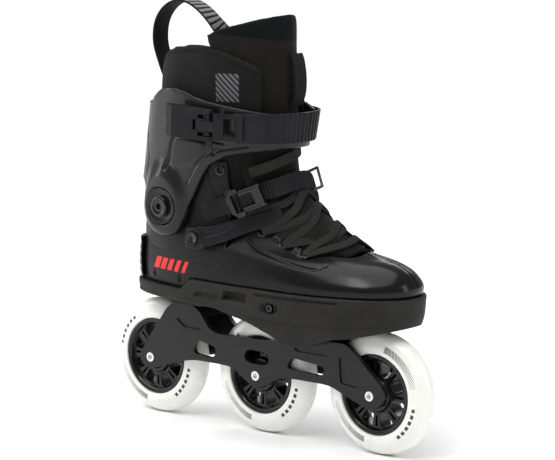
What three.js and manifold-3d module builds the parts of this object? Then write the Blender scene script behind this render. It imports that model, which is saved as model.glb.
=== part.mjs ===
// Inline skate for the right foot: a moulded boot with a hinged cuff on a three-wheel frame.
// Units are millimetres. +X points to the toe, +Y to the inner side of the foot and +Z up.
// The origin is on the ground under the middle axle.

import * as THREE from 'three';
import { mergeVertices } from 'three/addons/utils/BufferGeometryUtils.js';
import Module from 'manifold-3d';

const wasm = await Module();
wasm.setup();

// ---- Driving dimensions ----

const WHEEL_DIAMETER = 110;
const WHEEL_GAP = 19.5;
const TYRE_WIDTH = 24;
const TYRE_TIP_RADIUS = 10.5;
const CORE_DIAMETER = 72;
const CORE_RIM = 4.5;
const CORE_WEB = 9;
const CORE_WINDOWS = 8;
const HUB_WALL = 4;
const BEARING_OUTER = 22;
const BEARING_BORE = 8;
const BEARING_WIDTH = 7;
const RACE_WALL = 2;
const AXLE_DIAMETER = 7.2;
const AXLE_HEAD_DIAMETER = 9.6;
const AXLE_HEAD_DEPTH = 3;
const SOCKET_DIAMETER = 4;

const PLATE_THICKNESS = 5;
const TYRE_CLEARANCE = 2;
const FRONT_DECK_THICKNESS = 9;
const REAR_DECK_THICKNESS = 10;
const MOUNT_BOLT_DIAMETER = 7;
const MOUNT_HEAD_DIAMETER = 11;
const MOUNT_HEAD_HEIGHT = 5;
const MOUNT_BOLT_GRIP = 8;
const FRONT_BOLT_SPREAD = 14;

const BOOT_LENGTH = 320;
const BOOT_WIDTH = 104;
const BOOT_HEIGHT = 200;
const HEEL_LIFT = 10;
const SHELL_WALL = 3.5;
const CUFF_WALL = 3.5;
const LINER_WALL = 8;
const HEEL_STEP = 11;
const FOOTBED_FLOOR = 4;
const BUMPER_THICKNESS = 4.5;

const ANKLE_BOLT_DIAMETER = 12;
const ANKLE_HEAD_DIAMETER = 19;
const ANKLE_WASHER_DIAMETER = 34;
const ANKLE_WASHER_THICKNESS = 2.6;
const ANKLE_BOSS_WALL = 2;
const ANKLE_BOSS_HEIGHT = 5;
const ANKLE_CLEARANCE = 0.6;

const STRAP_THICKNESS = 3;
const CUFF_STRAP_HEIGHT = 27;
const INSTEP_STRAP_HEIGHT = 16;
const ARM_HEIGHT = 18;
const ARM_SCREW_DIAMETER = 8;
const ARM_SCREW_HEAD = 12;
const CUFF_LEVER_LENGTH = 43;
const CUFF_LEVER_HEIGHT = 28;
const CUFF_LEVER_THICKNESS = 9;
const LINK_THICKNESS = 2.2;
const PIN_DIAMETER = 3.2;
const RATCHET_LENGTH = 27;
const RATCHET_WIDTH = 20;
const RATCHET_HEIGHT = 12;
const LEVER_RING_LENGTH = 30;
const LEVER_RING_BAR = 4.5;
const LACE_WIDTH = 7;
const LACE_THICKNESS = 2;
const LOOP_WIDTH = 20;
const LOOP_THICKNESS = 2;

const FIT = 0.3;
const SMALL_SIDES = 12;
const WHEEL_SIDES = 24;
const LOFT_SIDES = 20;

// ---- Sizes that follow from them ----

const AXLE_HEIGHT = WHEEL_DIAMETER / 2;
const WHEEL_SPACING = WHEEL_DIAMETER + WHEEL_GAP;
const HUB_WIDTH = TYRE_WIDTH + FIT;
const SPACER_LENGTH = HUB_WIDTH - 2 * BEARING_WIDTH;
const CHANNEL_HALF = TYRE_WIDTH / 2 + TYRE_CLEARANCE;
const FRAME_HALF = CHANNEL_HALF + PLATE_THICKNESS;
const WHEEL_WELL = WHEEL_DIAMETER / 2 + TYRE_CLEARANCE;
const AXLES = [['rear', -WHEEL_SPACING], ['middle', 0], ['front', WHEEL_SPACING]];

// The frame's side is drawn on a grid with axles 130 apart and 55 high, and the boot's
// outlines on a boot 320 long, 104 wide and 200 high whose heel rests at height 0.
const frameX = (x) => x * WHEEL_SPACING / 130;
const frameZ = (z) => z * AXLE_HEIGHT / 55;
const SOLE_SEAT = WHEEL_DIAMETER + HEEL_LIFT;
const bootX = (x) => x * BOOT_LENGTH / 320;
const bootY = (y) => y * BOOT_WIDTH / 104;
const bootZ = (z) => SOLE_SEAT + z * BOOT_HEIGHT / 200;

const ANKLE = { x: bootX(-84), z: bootZ(87) };
const ARM_PIVOT = { x: bootX(-47), z: bootZ(61) };

// ---- Shape helpers ----

// A three.js geometry as a closed solid, its faces turned outwards.
function solid(geometry) {
  geometry.deleteAttribute('normal');
  geometry.deleteAttribute('uv');
  const merged = mergeVertices(geometry);
  const corners = merged.index.array;
  const places = merged.attributes.position;
  const [a, b, c] = [new THREE.Vector3(), new THREE.Vector3(), new THREE.Vector3()];
  const faces = [];
  let volume = 0;
  for (let i = 0; i < corners.length; i += 3) {
    const [p, q, r] = corners.slice(i, i + 3);
    if (p === q || q === r || r === p) continue;
    faces.push(p, q, r);
    volume += a.fromBufferAttribute(places, p).dot(
      b.fromBufferAttribute(places, q).cross(c.fromBufferAttribute(places, r)));
  }
  if (volume < 0) faces.reverse();
  const mesh = new wasm.Mesh({
    numProp: 3,
    vertProperties: Float32Array.from(places.array),
    triVerts: Uint32Array.from(faces),
  });
  return new wasm.Manifold(mesh);
}

function join(first, ...others) {
  return others.reduce((sum, other) => sum.add(other), first);
}

function cut(first, ...others) {
  return others.reduce((rest, other) => rest.subtract(other), first);
}

function box(x0, x1, y0, y1, z0, z1) {
  const geometry = new THREE.BoxGeometry(x1 - x0, y1 - y0, z1 - z0);
  return solid(geometry.translate((x0 + x1) / 2, (y0 + y1) / 2, (z0 + z1) / 2));
}

// A round bar along Y through (x, z).
function barY(radius, y0, y1, x, z, sides = SMALL_SIDES) {
  const geometry = new THREE.CylinderGeometry(radius, radius, y1 - y0, sides);
  return solid(geometry.translate(x, (y0 + y1) / 2, z));
}

// A round bar along Z through (x, y).
function barZ(radius, z0, z1, x, y, sides = SMALL_SIDES) {
  const geometry = new THREE.CylinderGeometry(radius, radius, z1 - z0, sides).rotateX(Math.PI / 2);
  return solid(geometry.translate(x, y, (z0 + z1) / 2));
}

// A closed profile of [radius, height] turned about Y through (x, z).
function turned(profile, sides, x = 0, z = 0) {
  const points = profile.map(([radius, y]) => new THREE.Vector2(radius, y));
  return solid(new THREE.LatheGeometry(points, sides).translate(x, 0, z));
}

function ring(inner, outer, y0, y1, sides, x, z) {
  return turned([[inner, y0], [outer, y0], [outer, y1], [inner, y1], [inner, y0]], sides, x, z);
}

// An outline of [x, z] points as a slab from y0 to y1.
function slabY(outline, y0, y1) {
  const shape = new THREE.Shape(outline.map(([x, z]) => new THREE.Vector2(x, z)));
  const geometry = new THREE.ExtrudeGeometry(shape, { depth: y1 - y0, bevelEnabled: false });
  return solid(geometry.rotateX(Math.PI / 2).translate(0, y1, 0));
}

// An outline of [x, y] points as a slab from z0 to z1.
function slabZ(outline, z0, z1) {
  const shape = new THREE.Shape(outline.map(([x, y]) => new THREE.Vector2(x, y)));
  const geometry = new THREE.ExtrudeGeometry(shape, { depth: z1 - z0, bevelEnabled: false });
  return solid(geometry.translate(0, 0, z0));
}

// A closed skin through rings of the same number of points, with flat ends. The end of
// a crescent, whose second half runs back beside its first, is closed straight across.
function loft(rings, crescent = false) {
  const count = rings[0].length;
  const points = rings.flat();
  const index = [];
  for (let level = 0; level + 1 < rings.length; level += 1) {
    for (let i = 0; i < count; i += 1) {
      const next = (i + 1) % count;
      const [a, b] = [level * count + i, level * count + next];
      index.push(a, b, b + count, a, b + count, a + count);
    }
  }
  for (const [ringIndex, turn] of [[0, -1], [rings.length - 1, 1]]) {
    if (crescent) {
      index.push(...crescentEnd(ringIndex * count, count, turn));
      continue;
    }
    const centre = rings[ringIndex].reduce((sum, p) => sum.add(p), new THREE.Vector3());
    points.push(centre.divideScalar(count));
    for (let i = 0; i < count; i += 1) {
      const side = [ringIndex * count + i, ringIndex * count + (i + 1) % count];
      if (turn < 0) side.reverse();
      index.push(points.length - 1, ...side);
    }
  }
  const geometry = new THREE.BufferGeometry().setFromPoints(points);
  geometry.setIndex(index);
  return solid(geometry);
}

// Triangles across the end of a crescent ring that starts at a point number.
function crescentEnd(start, count, turn) {
  const faces = [];
  for (let i = 0; i < count / 2 - 1; i += 1) {
    const [a, b, c, d] = [i, i + 1, count - 2 - i, count - 1 - i].map((place) => start + place);
    faces.push(...(turn < 0 ? [a, c, b, a, d, c] : [a, b, c, a, c, d]));
  }
  return faces;
}

// ---- The boot's rounded sections ----

// Each row: height, rear end, front end, half width, place of the widest point,
// and the squareness of the front and rear halves (2 is an ellipse).
const SHELL_SECTIONS = [
  [10, -142, 150, 46.5, 55, 2.3, 2.5],
  [22, -143, 159, 49, 55, 2.3, 2.5],
  [30, -143, 161, 49.5, 50, 2.3, 2.5],
  [38, -142, 157.5, 48.5, 35, 2.15, 2.5],
  [45, -141, 150, 47, 20, 2, 2.5],
  [50, -140, 139, 46, 0, 1.85, 2.5],
  [55, -139, 121, 44.8, -20, 1.6, 2.5],
  [61, -138, 106, 43.5, -40, 1.5, 2.5],
  [72, -136, 86, 42.8, -50, 1.4, 2.5],
  [85, -133, 66, 42.5, -60, 1.5, 2.4],
  [100, -129, 46, 43, -60, 1.7, 2.3],
  [115, -124.5, 35, 44.5, -55, 1.9, 2.2],
  [132, -121, 31, 46.5, -50, 2, 2.2],
];
const CUFF_SECTIONS = [
  [50, -143, 60, 49, -70, 2, 2.5],
  [83, -142, 50, 48.5, -70, 2, 2.4],
  [115, -136, 38, 50.5, -60, 2, 2.3],
  [145, -131, 38, 53.5, -50, 2.1, 2.3],
  [180, -125, 42, 56, -45, 2.2, 2.3],
  [198, -123, 44, 57, -44, 2.2, 2.3],
];
const SOLE_SECTIONS = [
  [-30, -142, 150, 44, 55, 2.3, 2.5],
  [-12, -147, 155, 49, 55, 2.3, 2.5],
  [0, -149, 160, 51, 55, 2.3, 2.5],
  [22, -150, 163, 52, 55, 2.3, 2.5],
];
const LINER_SECTIONS = [
  [120, -122, 27, 42, -45, 2, 2.2],
  [180, -117, 34, 46, -38, 2.1, 2.2],
  [225, -106, 30, 46, -36, 2.1, 2.2],
  [255, -100, 28, 44, -36, 2.1, 2.2],
];

// The toe bends inwards, as a foot does.
function middleLine(x) {
  const u = THREE.MathUtils.clamp((x - bootX(40)) / bootX(120), 0, 1);
  return bootY(7) * u * u * (3 - 2 * u);
}

function sectionAt(sections, z) {
  const height = (z - SOLE_SEAT) * 200 / BOOT_HEIGHT;
  const last = sections.length - 1;
  const level = THREE.MathUtils.clamp(height, sections[0][0], sections[last][0]);
  let row = 0;
  while (row < last - 1 && sections[row + 1][0] < level) row += 1;
  const [low, high] = [sections[row], sections[row + 1]];
  const mix = (level - low[0]) / (high[0] - low[0]);
  const [, back, front, half, widest, frontPower, backPower] = low.map((v, i) => v + mix * (high[i] - v));
  return {
    back: bootX(back), front: bootX(front), half: bootY(half), widest: bootX(widest), frontPower, backPower,
  };
}

// A point on the section at height z, at an angle from the toe direction (degrees,
// positive on the inner side), moved outwards by grow.
function skinPoint(sections, z, degrees, grow = 0) {
  const s = sectionAt(sections, z);
  const angle = THREE.MathUtils.degToRad(degrees);
  const [c, d] = [Math.cos(angle), Math.sin(angle)];
  const power = 2 / (c > 0 ? s.frontPower : s.backPower);
  const reach = (c > 0 ? s.front - s.widest : s.widest - s.back) + grow;
  const x = s.widest + reach * Math.sign(c) * Math.abs(c) ** power;
  const y = middleLine(x) + (s.half + grow) * Math.sign(d) * Math.abs(d) ** power;
  return new THREE.Vector3(x, y, z);
}

function skinRing(sections, z, grow, sides = LOFT_SIDES) {
  return Array.from({ length: sides }, (_, i) => skinPoint(sections, z, i * 360 / sides, grow));
}

// The solid inside a set of sections between two heights.
function body(sections, z0, z1, grow = 0, sides = LOFT_SIDES) {
  const inner = sections.map(([height]) => bootZ(height)).filter((z) => z > z0 + 1 && z < z1 - 1);
  return loft([z0, ...inner, z1].map((z) => skinRing(sections, z, grow, sides)));
}

// Frames along a route of [angle, height] on a skin: a point, and the directions
// along the route, out of the skin and across the strap.
function skinFrames(sections, route, grow) {
  const points = route.map(([degrees, z]) => skinPoint(sections, z, degrees, grow));
  return points.map((point, i) => {
    const [degrees, z] = route[i];
    const along = points[Math.min(i + 1, points.length - 1)].clone();
    along.sub(points[Math.max(i - 1, 0)]).normalize();
    const around = skinPoint(sections, z, degrees + 2, grow).sub(skinPoint(sections, z, degrees - 2, grow));
    const upwards = skinPoint(sections, z + 2, degrees, grow).sub(skinPoint(sections, z - 2, degrees, grow));
    const out = around.cross(upwards);
    out.addScaledVector(along, -out.dot(along)).normalize();
    return { point, along, out, across: out.clone().cross(along) };
  });
}

// A strap that follows frames, with a height for each frame.
function strap(frames, heights, thickness) {
  const rings = frames.map(({ point, out, across }, i) => {
    const corners = [[-1, 0], [-1, 1], [1, 1], [1, 0]];
    return corners.map(([side, outer]) => point.clone()
      .addScaledVector(across, side * heights[i] / 2)
      .addScaledVector(out, outer * thickness));
  });
  return loft(rings);
}

// Turns a local solid (x along the strap, y across it, z outwards) into place.
function placed(manifold, { point, along, out, across }) {
  const matrix = new THREE.Matrix4().makeBasis(along, across, out).setPosition(point);
  return manifold.transform(matrix.elements);
}

// ---- Materials ----

function material(color, roughness, metalness = 0) {
  return new THREE.MeshStandardMaterial({ color, roughness, metalness });
}

const MATERIALS = {
  urethane: material(0xefeee6, 0.25),
  corePlastic: material(0x141416, 0.2),
  steel: material(0xb9bcc0, 0.3, 1),
  zinc: material(0xd7dde0, 0.4, 0.9),
  frameMetal: material(0x323236, 0.5, 0.6),
  solePlastic: material(0x373530, 0.7),
  shellPlastic: material(0x131313, 0.5),
  cuffPlastic: material(0x1b1b1c, 0.45),
  strapPlastic: material(0x242425, 0.6),
  glossPlastic: material(0x0b0b0c, 0.15),
  fabric: material(0x121212, 0.9),
  webbing: material(0x151515, 0.85),
  lace: material(0x0f0f0f, 0.8),
};

const skate = new THREE.Group();

function add(name, manifold, materialName) {
  const { vertProperties, triVerts } = manifold.getMesh();
  const geometry = new THREE.BufferGeometry();
  geometry.setAttribute('position', new THREE.BufferAttribute(Float32Array.from(vertProperties), 3));
  geometry.setIndex(new THREE.BufferAttribute(Uint32Array.from(triVerts), 1));
  geometry.computeVertexNormals();
  const mesh = new THREE.Mesh(geometry, MATERIALS[materialName]);
  mesh.name = name;
  skate.add(mesh);
}

// ---- Wheels ----

function tyre(x) {
  const half = TYRE_WIDTH / 2;
  const inner = CORE_DIAMETER / 2 + FIT;
  const outer = WHEEL_DIAMETER / 2;
  const tip = Math.min(TYRE_TIP_RADIUS, half);
  const profile = [[inner, -half + FIT], [inner + 4, -half], [outer - tip - 1, -half + 0.5]];
  for (const degrees of [-60, -30, 0, 30, 60]) {
    const angle = THREE.MathUtils.degToRad(degrees);
    profile.push([outer - tip + tip * Math.cos(angle), tip * Math.sin(angle)]);
  }
  profile.push([outer - tip - 1, half - 0.5], [inner + 4, half], [inner, half - FIT], profile[0]);
  return turned(profile, WHEEL_SIDES, x, AXLE_HEIGHT);
}

function core(x) {
  const seat = BEARING_OUTER / 2 + FIT;
  const shoulder = seat - RACE_WALL;
  const rim = CORE_DIAMETER / 2;
  const [hub, rimInner] = [seat + HUB_WALL, rim - CORE_RIM];
  const [side, web, stop] = [TYRE_WIDTH / 2 - FIT, CORE_WEB / 2, SPACER_LENGTH / 2 - FIT];
  const half = [[seat, stop], [seat, side], [hub, side], [hub + 1, web], [rimInner, web], [rimInner, side], [rim, side]];
  const upper = [[shoulder, stop], ...half];
  const lower = upper.map(([radius, y]) => [radius, -y]).reverse();
  const blank = turned([...lower, ...upper, lower[0]].reverse(), WHEEL_SIDES, x, AXLE_HEIGHT);
  const windows = Array.from({ length: CORE_WINDOWS }, (_, i) => {
    const middle = (i + 0.5) * 2 * Math.PI / CORE_WINDOWS;
    const spread = Math.PI / CORE_WINDOWS * 0.62;
    const corner = (radius, angle) => [x + radius * Math.sin(angle), AXLE_HEIGHT + radius * Math.cos(angle)];
    const [low, high] = [hub + 2, rimInner - 1];
    return slabY([
      corner(low, middle - spread), corner(high, middle - spread),
      corner(high, middle + spread), corner(low, middle + spread),
    ], -side, side);
  });
  return cut(blank, ...windows);
}

function axle(x) {
  const [shaft, head] = [AXLE_DIAMETER / 2, AXLE_HEAD_DIAMETER / 2];
  const outer = -FRAME_HALF - FIT;
  const profile = [
    [0, outer + 2], [SOCKET_DIAMETER / 2, outer + 2], [SOCKET_DIAMETER / 2, outer], [head, outer],
    [head, outer + AXLE_HEAD_DEPTH], [shaft, outer + AXLE_HEAD_DEPTH], [shaft, FRAME_HALF - 1], [0, FRAME_HALF - 1],
  ];
  return turned(profile, SMALL_SIDES, x, AXLE_HEIGHT);
}

for (const [place, x] of AXLES) {
  const outerRace = BEARING_OUTER / 2;
  const innerRace = BEARING_BORE / 2;
  const [near, far] = [SPACER_LENGTH / 2, SPACER_LENGTH / 2 + BEARING_WIDTH];
  add(`tyre_${place}`, tyre(x), 'urethane');
  add(`core_${place}`, core(x), 'corePlastic');
  for (const [side, y0, y1] of [['outer', -far, -near], ['inner', near, far]]) {
    const race = [SMALL_SIDES, x, AXLE_HEIGHT];
    add(`bearing_ring_${side}_${place}`, ring(outerRace - RACE_WALL, outerRace, y0, y1, ...race), 'steel');
    add(`bearing_hub_${side}_${place}`, ring(innerRace, innerRace + RACE_WALL, y0, y1, ...race), 'steel');
  }
  const spacerEnd = near - FIT;
  add(`spacer_${place}`, ring(innerRace, innerRace + RACE_WALL, -spacerEnd, spacerEnd, SMALL_SIDES, x, AXLE_HEIGHT), 'steel');
  add(`axle_${place}`, axle(x), 'zinc');
}

// ---- Frame ----

const FRAME_OUTLINE = [
  [-104, 111], [-124, 84], [-144, 56], [-141, 48], [-130, 43.5], [-112, 49.5], [-90, 56.5], [-74, 60], [-36, 60],
  [-26.5, 59], [-11, 49], [0, 43.5], [12, 47], [21, 53], [30, 57], [43, 58.5], [86, 58.5], [99, 53.5], [114, 48],
  [127, 43.5], [134, 43.5], [141, 47], [147, 54], [147.5, 59], [142.5, 66], [117, 88], [107, 96], [100, 98.5],
  [80, 97], [62, 94], [32, 94.5], [22, 90], [-8, 88.5], [-44, 88], [-54, 90.5], [-60, 96.5], [-65, 104], [-71, 109],
  [-80, 111.5],
];
const FRAME_WINDOWS = [
  [[-76, 66], [-50, 64], [-46, 75], [-72, 80]],
  [[-14, 70], [-8, 66], [12, 66], [17, 70], [14, 78], [-10, 79]],
  [[36, 67], [78, 65], [81, 74], [42, 78]],
];
const FRONT_DECK_TOP = frameZ(94);
const REAR_DECK_TOP = frameZ(111);
const FRONT_MOUNT_X = frameX(65);
const REAR_MOUNT_X = frameX(-82);

const onFrame = (outline) => outline.map(([x, z]) => [frameX(x), frameZ(z)]);

function wheelWell(x, grow = 0) {
  const reach = CHANNEL_HALF + grow;
  return barY(WHEEL_WELL + grow, -reach, reach, x, AXLE_HEIGHT, WHEEL_SIDES);
}

function frame() {
  const outline = onFrame(FRAME_OUTLINE);
  const xs = outline.map(([x]) => x);
  const [low, high] = [Math.min(...xs) - 1, Math.max(...xs) + 1];
  const across = [-CHANNEL_HALF, CHANNEL_HALF];
  const frontDeck = box(frameX(44), frameX(88), ...across, FRONT_DECK_TOP - FRONT_DECK_THICKNESS, FRONT_DECK_TOP + 9);
  const rearDeck = box(frameX(-106), frameX(-60), ...across, REAR_DECK_TOP - REAR_DECK_THICKNESS, REAR_DECK_TOP + 9);
  const channel = cut(box(low, high, ...across, 0, REAR_DECK_TOP + 8), frontDeck, rearDeck);
  const walls = cut(slabY(outline, -FRAME_HALF, FRAME_HALF), channel, ...AXLES.map(([, x]) => wheelWell(x)));
  const bosses = AXLES.flatMap(([, x]) => [-1, 1].map((side) => {
    const [inner, outer] = [HUB_WIDTH / 2 + FIT, CHANNEL_HALF + 0.5];
    return barY(AXLE_DIAMETER, ...(side < 0 ? [-outer, -inner] : [inner, outer]), x, AXLE_HEIGHT);
  }));
  const bores = AXLES.flatMap(([, x]) => [
    barY(AXLE_DIAMETER / 2 + FIT, -FRAME_HALF - 1, FRAME_HALF + 1, x, AXLE_HEIGHT),
    barY(AXLE_HEAD_DIAMETER / 2 + FIT, -FRAME_HALF - 1, -FRAME_HALF + AXLE_HEAD_DEPTH, x, AXLE_HEIGHT),
  ]);
  const windows = FRAME_WINDOWS.map((outlineOfWindow) => (
    slabY(onFrame(outlineOfWindow), -FRAME_HALF - 1, FRAME_HALF + 1)));
  const boltHole = MOUNT_BOLT_DIAMETER / 2 + FIT;
  const boltHoles = mountBolts().map(({ x, y, top }) => barZ(boltHole, top - 30, top + 9, x, y));
  const headRooms = mountBolts().map(({ x, y, top, deck }) => (
    barZ(MOUNT_HEAD_DIAMETER / 2 + FIT, top - deck - MOUNT_HEAD_HEIGHT - 1, top - deck, x, y)));
  return cut(join(walls, ...bosses), ...bores, ...windows, ...boltHoles, ...headRooms);
}

function mountBolts() {
  const front = { x: FRONT_MOUNT_X, top: FRONT_DECK_TOP, deck: FRONT_DECK_THICKNESS };
  return [
    { name: 'mount_bolt_front_outer', ...front, y: -FRONT_BOLT_SPREAD / 2 },
    { name: 'mount_bolt_front_inner', ...front, y: FRONT_BOLT_SPREAD / 2 },
    { name: 'mount_bolt_rear', x: REAR_MOUNT_X, y: 0, top: REAR_DECK_TOP, deck: REAR_DECK_THICKNESS },
  ];
}

function mountBolt({ x, y, top, deck }) {
  const under = top - deck - FIT;
  const head = barZ(MOUNT_HEAD_DIAMETER / 2, under - MOUNT_HEAD_HEIGHT, under, x, y);
  const shaft = barZ(MOUNT_BOLT_DIAMETER / 2, under - 1, top + MOUNT_BOLT_GRIP, x, y);
  const socket = barZ(SOCKET_DIAMETER / 2, under - MOUNT_HEAD_HEIGHT - 1, under - MOUNT_HEAD_HEIGHT / 2, x, y);
  return cut(join(head, shaft), socket);
}

add('frame', frame(), 'frameMetal');
for (const bolt of mountBolts()) add(bolt.name, mountBolt(bolt), 'steel');

// ---- Sole ----

const SOLE_TOP = bootZ(22);
const STEP_X = bootX(-54);
const STEP_Z = SOLE_TOP - HEEL_STEP;
const SOLE_UNDERSIDE = [
  [-160, -1], [-35, -1], [-20, -2], [0, -6], [14, -9], [42, -19], [52, -25.5], [78, -25.5], [88, -20], [102, -15.5],
  [117, -13.5], [131, -10.5], [144, -7.5], [180, 1],
];
const SIDE_SCREW = { x: bootX(42), z: bootZ(7) };

function sideScrew(side) {
  const y = side * (Math.abs(soleSide(side)) - 4);
  const [low, high] = side < 0 ? [y - 3, y] : [y, y + 3];
  const face = side < 0 ? low : high;
  const socket = barY(1.6, face - 1.5, face + 1.5, SIDE_SCREW.x, SIDE_SCREW.z);
  return cut(barY(3.7, low, high, SIDE_SCREW.x, SIDE_SCREW.z), socket);
}

function soleSide(side) {
  return middleLine(SIDE_SCREW.x) + side * sectionAt(SOLE_SECTIONS, SIDE_SCREW.z).half;
}

function sole() {
  const shape = body(SOLE_SECTIONS, bootZ(-32), SOLE_TOP);
  const under = [...SOLE_UNDERSIDE.map(([x, z]) => [bootX(x), bootZ(z)]), [bootX(180), bootZ(-60)], [bootX(-160), bootZ(-60)]];
  const wide = bootY(80);
  const belly = cut(shape, slabY(under, -wide, wide), box(bootX(-180), STEP_X, -wide, wide, STEP_Z, SOLE_TOP + 9));
  const pads = [
    box(REAR_MOUNT_X - 18, REAR_MOUNT_X + 20, -FRAME_HALF - 3, FRAME_HALF + 3, REAR_DECK_TOP + FIT, bootZ(2)),
    box(FRONT_MOUNT_X - 12, FRONT_MOUNT_X + 12, -FRAME_HALF, FRAME_HALF, FRONT_DECK_TOP + FIT, bootZ(-10)),
  ];
  const frameTop = slabY(onFrame(FRAME_OUTLINE).map(([x, z]) => [x, z + FIT]), -FRAME_HALF - FIT, FRAME_HALF + FIT);
  const holes = mountBolts().map(({ x, y, top }) => (
    barZ(MOUNT_BOLT_DIAMETER / 2 + FIT, top - 5, top + MOUNT_BOLT_GRIP + FIT, x, y)));
  const recesses = [-1, 1].map((side) => {
    const inner = Math.abs(soleSide(side)) - 4 - FIT;
    const reach = side < 0 ? [-inner - 15, -inner] : [inner, inner + 15];
    return barY(5, ...reach, SIDE_SCREW.x, SIDE_SCREW.z);
  });
  const wells = AXLES.map(([, x]) => wheelWell(x, 1));
  return cut(join(belly, ...pads), frameTop, ...wells, ...holes, ...recesses);
}

add('sole', sole(), 'solePlastic');
add('sole_screw_outer', sideScrew(-1), 'glossPlastic');
add('sole_screw_inner', sideScrew(1), 'glossPlastic');

// ---- Shell ----

const SHELL_TOP = bootZ(132);
const FLOOR = SOLE_TOP + FOOTBED_FLOOR;
// Half of the lacing gap seen from above, from the toe end to the ankle.
const THROAT = [[112, 0], [108, 12], [98, 19], [70, 25], [25, 28], [2, 31], [-14, 46]];

// The lacing gap and everything in front of the ankle above the eyelet rows.
function throat(grow = 0) {
  const gap = THROAT.map(([x, y]) => [bootX(x) - grow, y === 0 ? 0 : bootY(y) + grow]);
  const outline = [
    ...gap.map(([x, y]) => [x, middleLine(x) + y]),
    ...gap.slice(1).reverse().map(([x, y]) => [x, middleLine(x) - y]),
  ];
  return slabZ(outline, bootZ(38), SHELL_TOP + 20);
}

// Everything ahead of the ankle above the upper eyelets.
function instepFront() {
  const wide = bootY(80);
  return box(bootX(-12), bootX(80), -wide, wide, bootZ(102), SHELL_TOP + 9);
}

function ankleBores(radius) {
  const reach = bootY(80);
  return barY(radius, -reach, reach, ANKLE.x, ANKLE.z);
}

function shell() {
  const outer = body(SHELL_SECTIONS, STEP_Z + FIT, SHELL_TOP);
  const hollow = body(SHELL_SECTIONS, FLOOR, SHELL_TOP + 5, -SHELL_WALL);
  const wide = bootY(80);
  const overSole = box(STEP_X - FIT, bootX(200), -wide, wide, STEP_Z - 9, SOLE_TOP + FIT);
  const rim = slabY([
    [-160, 112], [-120, 112], [-70, 124], [-30, 133], [-30, 160], [-160, 160],
  ].map(([x, z]) => [bootX(x), bootZ(z)]), -wide, wide);
  const armBore = barY(ARM_SCREW_DIAMETER / 2 + FIT, -wide, wide, ARM_PIVOT.x, ARM_PIVOT.z);
  return cut(outer, hollow, overSole, rim, throat(), instepFront(), ankleBores(ANKLE_BOLT_DIAMETER / 2 + FIT), armBore);
}

function heelBumper() {
  const z = [STEP_Z + 2, bootZ(52)];
  const plate = cut(
    body(SHELL_SECTIONS, z[0], z[1], BUMPER_THICKNESS + FIT),
    body(SHELL_SECTIONS, z[0] - 5, z[1] + 5, FIT),
  );
  const wide = bootY(80);
  return cut(plate, box(bootX(-131), bootX(200), -wide, wide, z[0] - 9, z[1] + 9));
}

add('shell', shell(), 'shellPlastic');
add('heel_bumper', heelBumper(), 'cuffPlastic');

// ---- Liner, tongue and laces ----

const TOP_LINE = [[-115, 212], [-100, 218], [-76, 232], [-44, 230], [-20, 222], [0, 209], [24, 196], [60, 190]];
const LINER_SPLIT = bootZ(131);
// Room in front of the ankle for the upper liner to come down as the cuff flexes.
const FLEX_ROOM = 16;

function linerLower() {
  const gap = SHELL_WALL + 2 * FIT;
  const outer = body(SHELL_SECTIONS, FLOOR + FIT, LINER_SPLIT - FIT, -gap);
  const hollow = body(SHELL_SECTIONS, FLOOR + 6, LINER_SPLIT + 5, -gap - LINER_WALL);
  return cut(outer, hollow, throat(1), instepFront());
}

function linerUpper() {
  const outer = body(LINER_SECTIONS, LINER_SPLIT + 2, bootZ(246));
  const hollow = body(LINER_SECTIONS, LINER_SPLIT - 5, bootZ(260), -LINER_WALL);
  const wide = bootY(80);
  const line = TOP_LINE.map(([x, z]) => [bootX(x), bootZ(z)]);
  const above = slabY([...line, [bootX(60), bootZ(300)], [bootX(-160), bootZ(300)], [bootX(-160), bootZ(212)]], -wide, wide);
  const flexRoom = slabY([
    [bootX(-160), LINER_SPLIT - 20], [bootX(60), LINER_SPLIT - 20], [bootX(60), LINER_SPLIT + 2 + FLEX_ROOM],
    [ANKLE.x, LINER_SPLIT + 2], [bootX(-160), LINER_SPLIT + 2],
  ], -wide, wide);
  const tongueGap = box(bootX(-8), bootX(80), -bootY(37), bootY(37), LINER_SPLIT - 9, bootZ(260));
  return cut(outer, hollow, above, flexRoom, tongueGap);
}

// The tongue is a curved pad. Each row: distance forward, height, half width, thickness
// and how far its edges fall back, as a share of the half width.
const TONGUE_LOWER = [
  [98, 52, 13, 5, 0.6], [80, 64, 18, 6, 0.75], [60, 76, 20, 8, 0.75], [41, 92, 22, 9, 0.7], [31, 110, 25, 9, 0.5],
  [26, 128, 26, 9, 0.4],
];
const TONGUE_UPPER = [
  [27, 145, 26, 9, 0.4], [28, 170, 28, 10, 0.4], [28, 205, 31, 10, 0.6], [28, 225, 33, 11, 0.85],
  [29, 242, 36, 12, 1.1], [28, 258, 38, 12, 1.2], [28, 264, 36, 8, 1.2],
];

function tongue(rows) {
  const places = rows.map(([x, z]) => new THREE.Vector3(bootX(x), 0, bootZ(z)));
  const rings = rows.map(([, , half, thickness, fall], i) => {
    const along = places[Math.min(i + 1, rows.length - 1)].clone().sub(places[Math.max(i - 1, 0)]).normalize();
    const out = new THREE.Vector3(along.z, 0, -along.x);
    const width = bootY(half);
    const arch = (y) => -fall * width * (y / width) ** 2;
    const spans = [-1, -0.6, 0, 0.6, 1];
    const skin = (y, depth) => places[i].clone().addScaledVector(out, arch(y) + depth)
      .add(new THREE.Vector3(0, middleLine(places[i].x) + y, 0));
    const front = spans.map((u) => skin(u * width, Math.abs(u) === 1 ? -0.3 * thickness : 0));
    const back = spans.slice().reverse().map((u) => skin(u * width, Math.abs(u) === 1 ? -0.7 * thickness : -thickness));
    return [...front, ...back];
  });
  return loft(rings, true);
}

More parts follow.
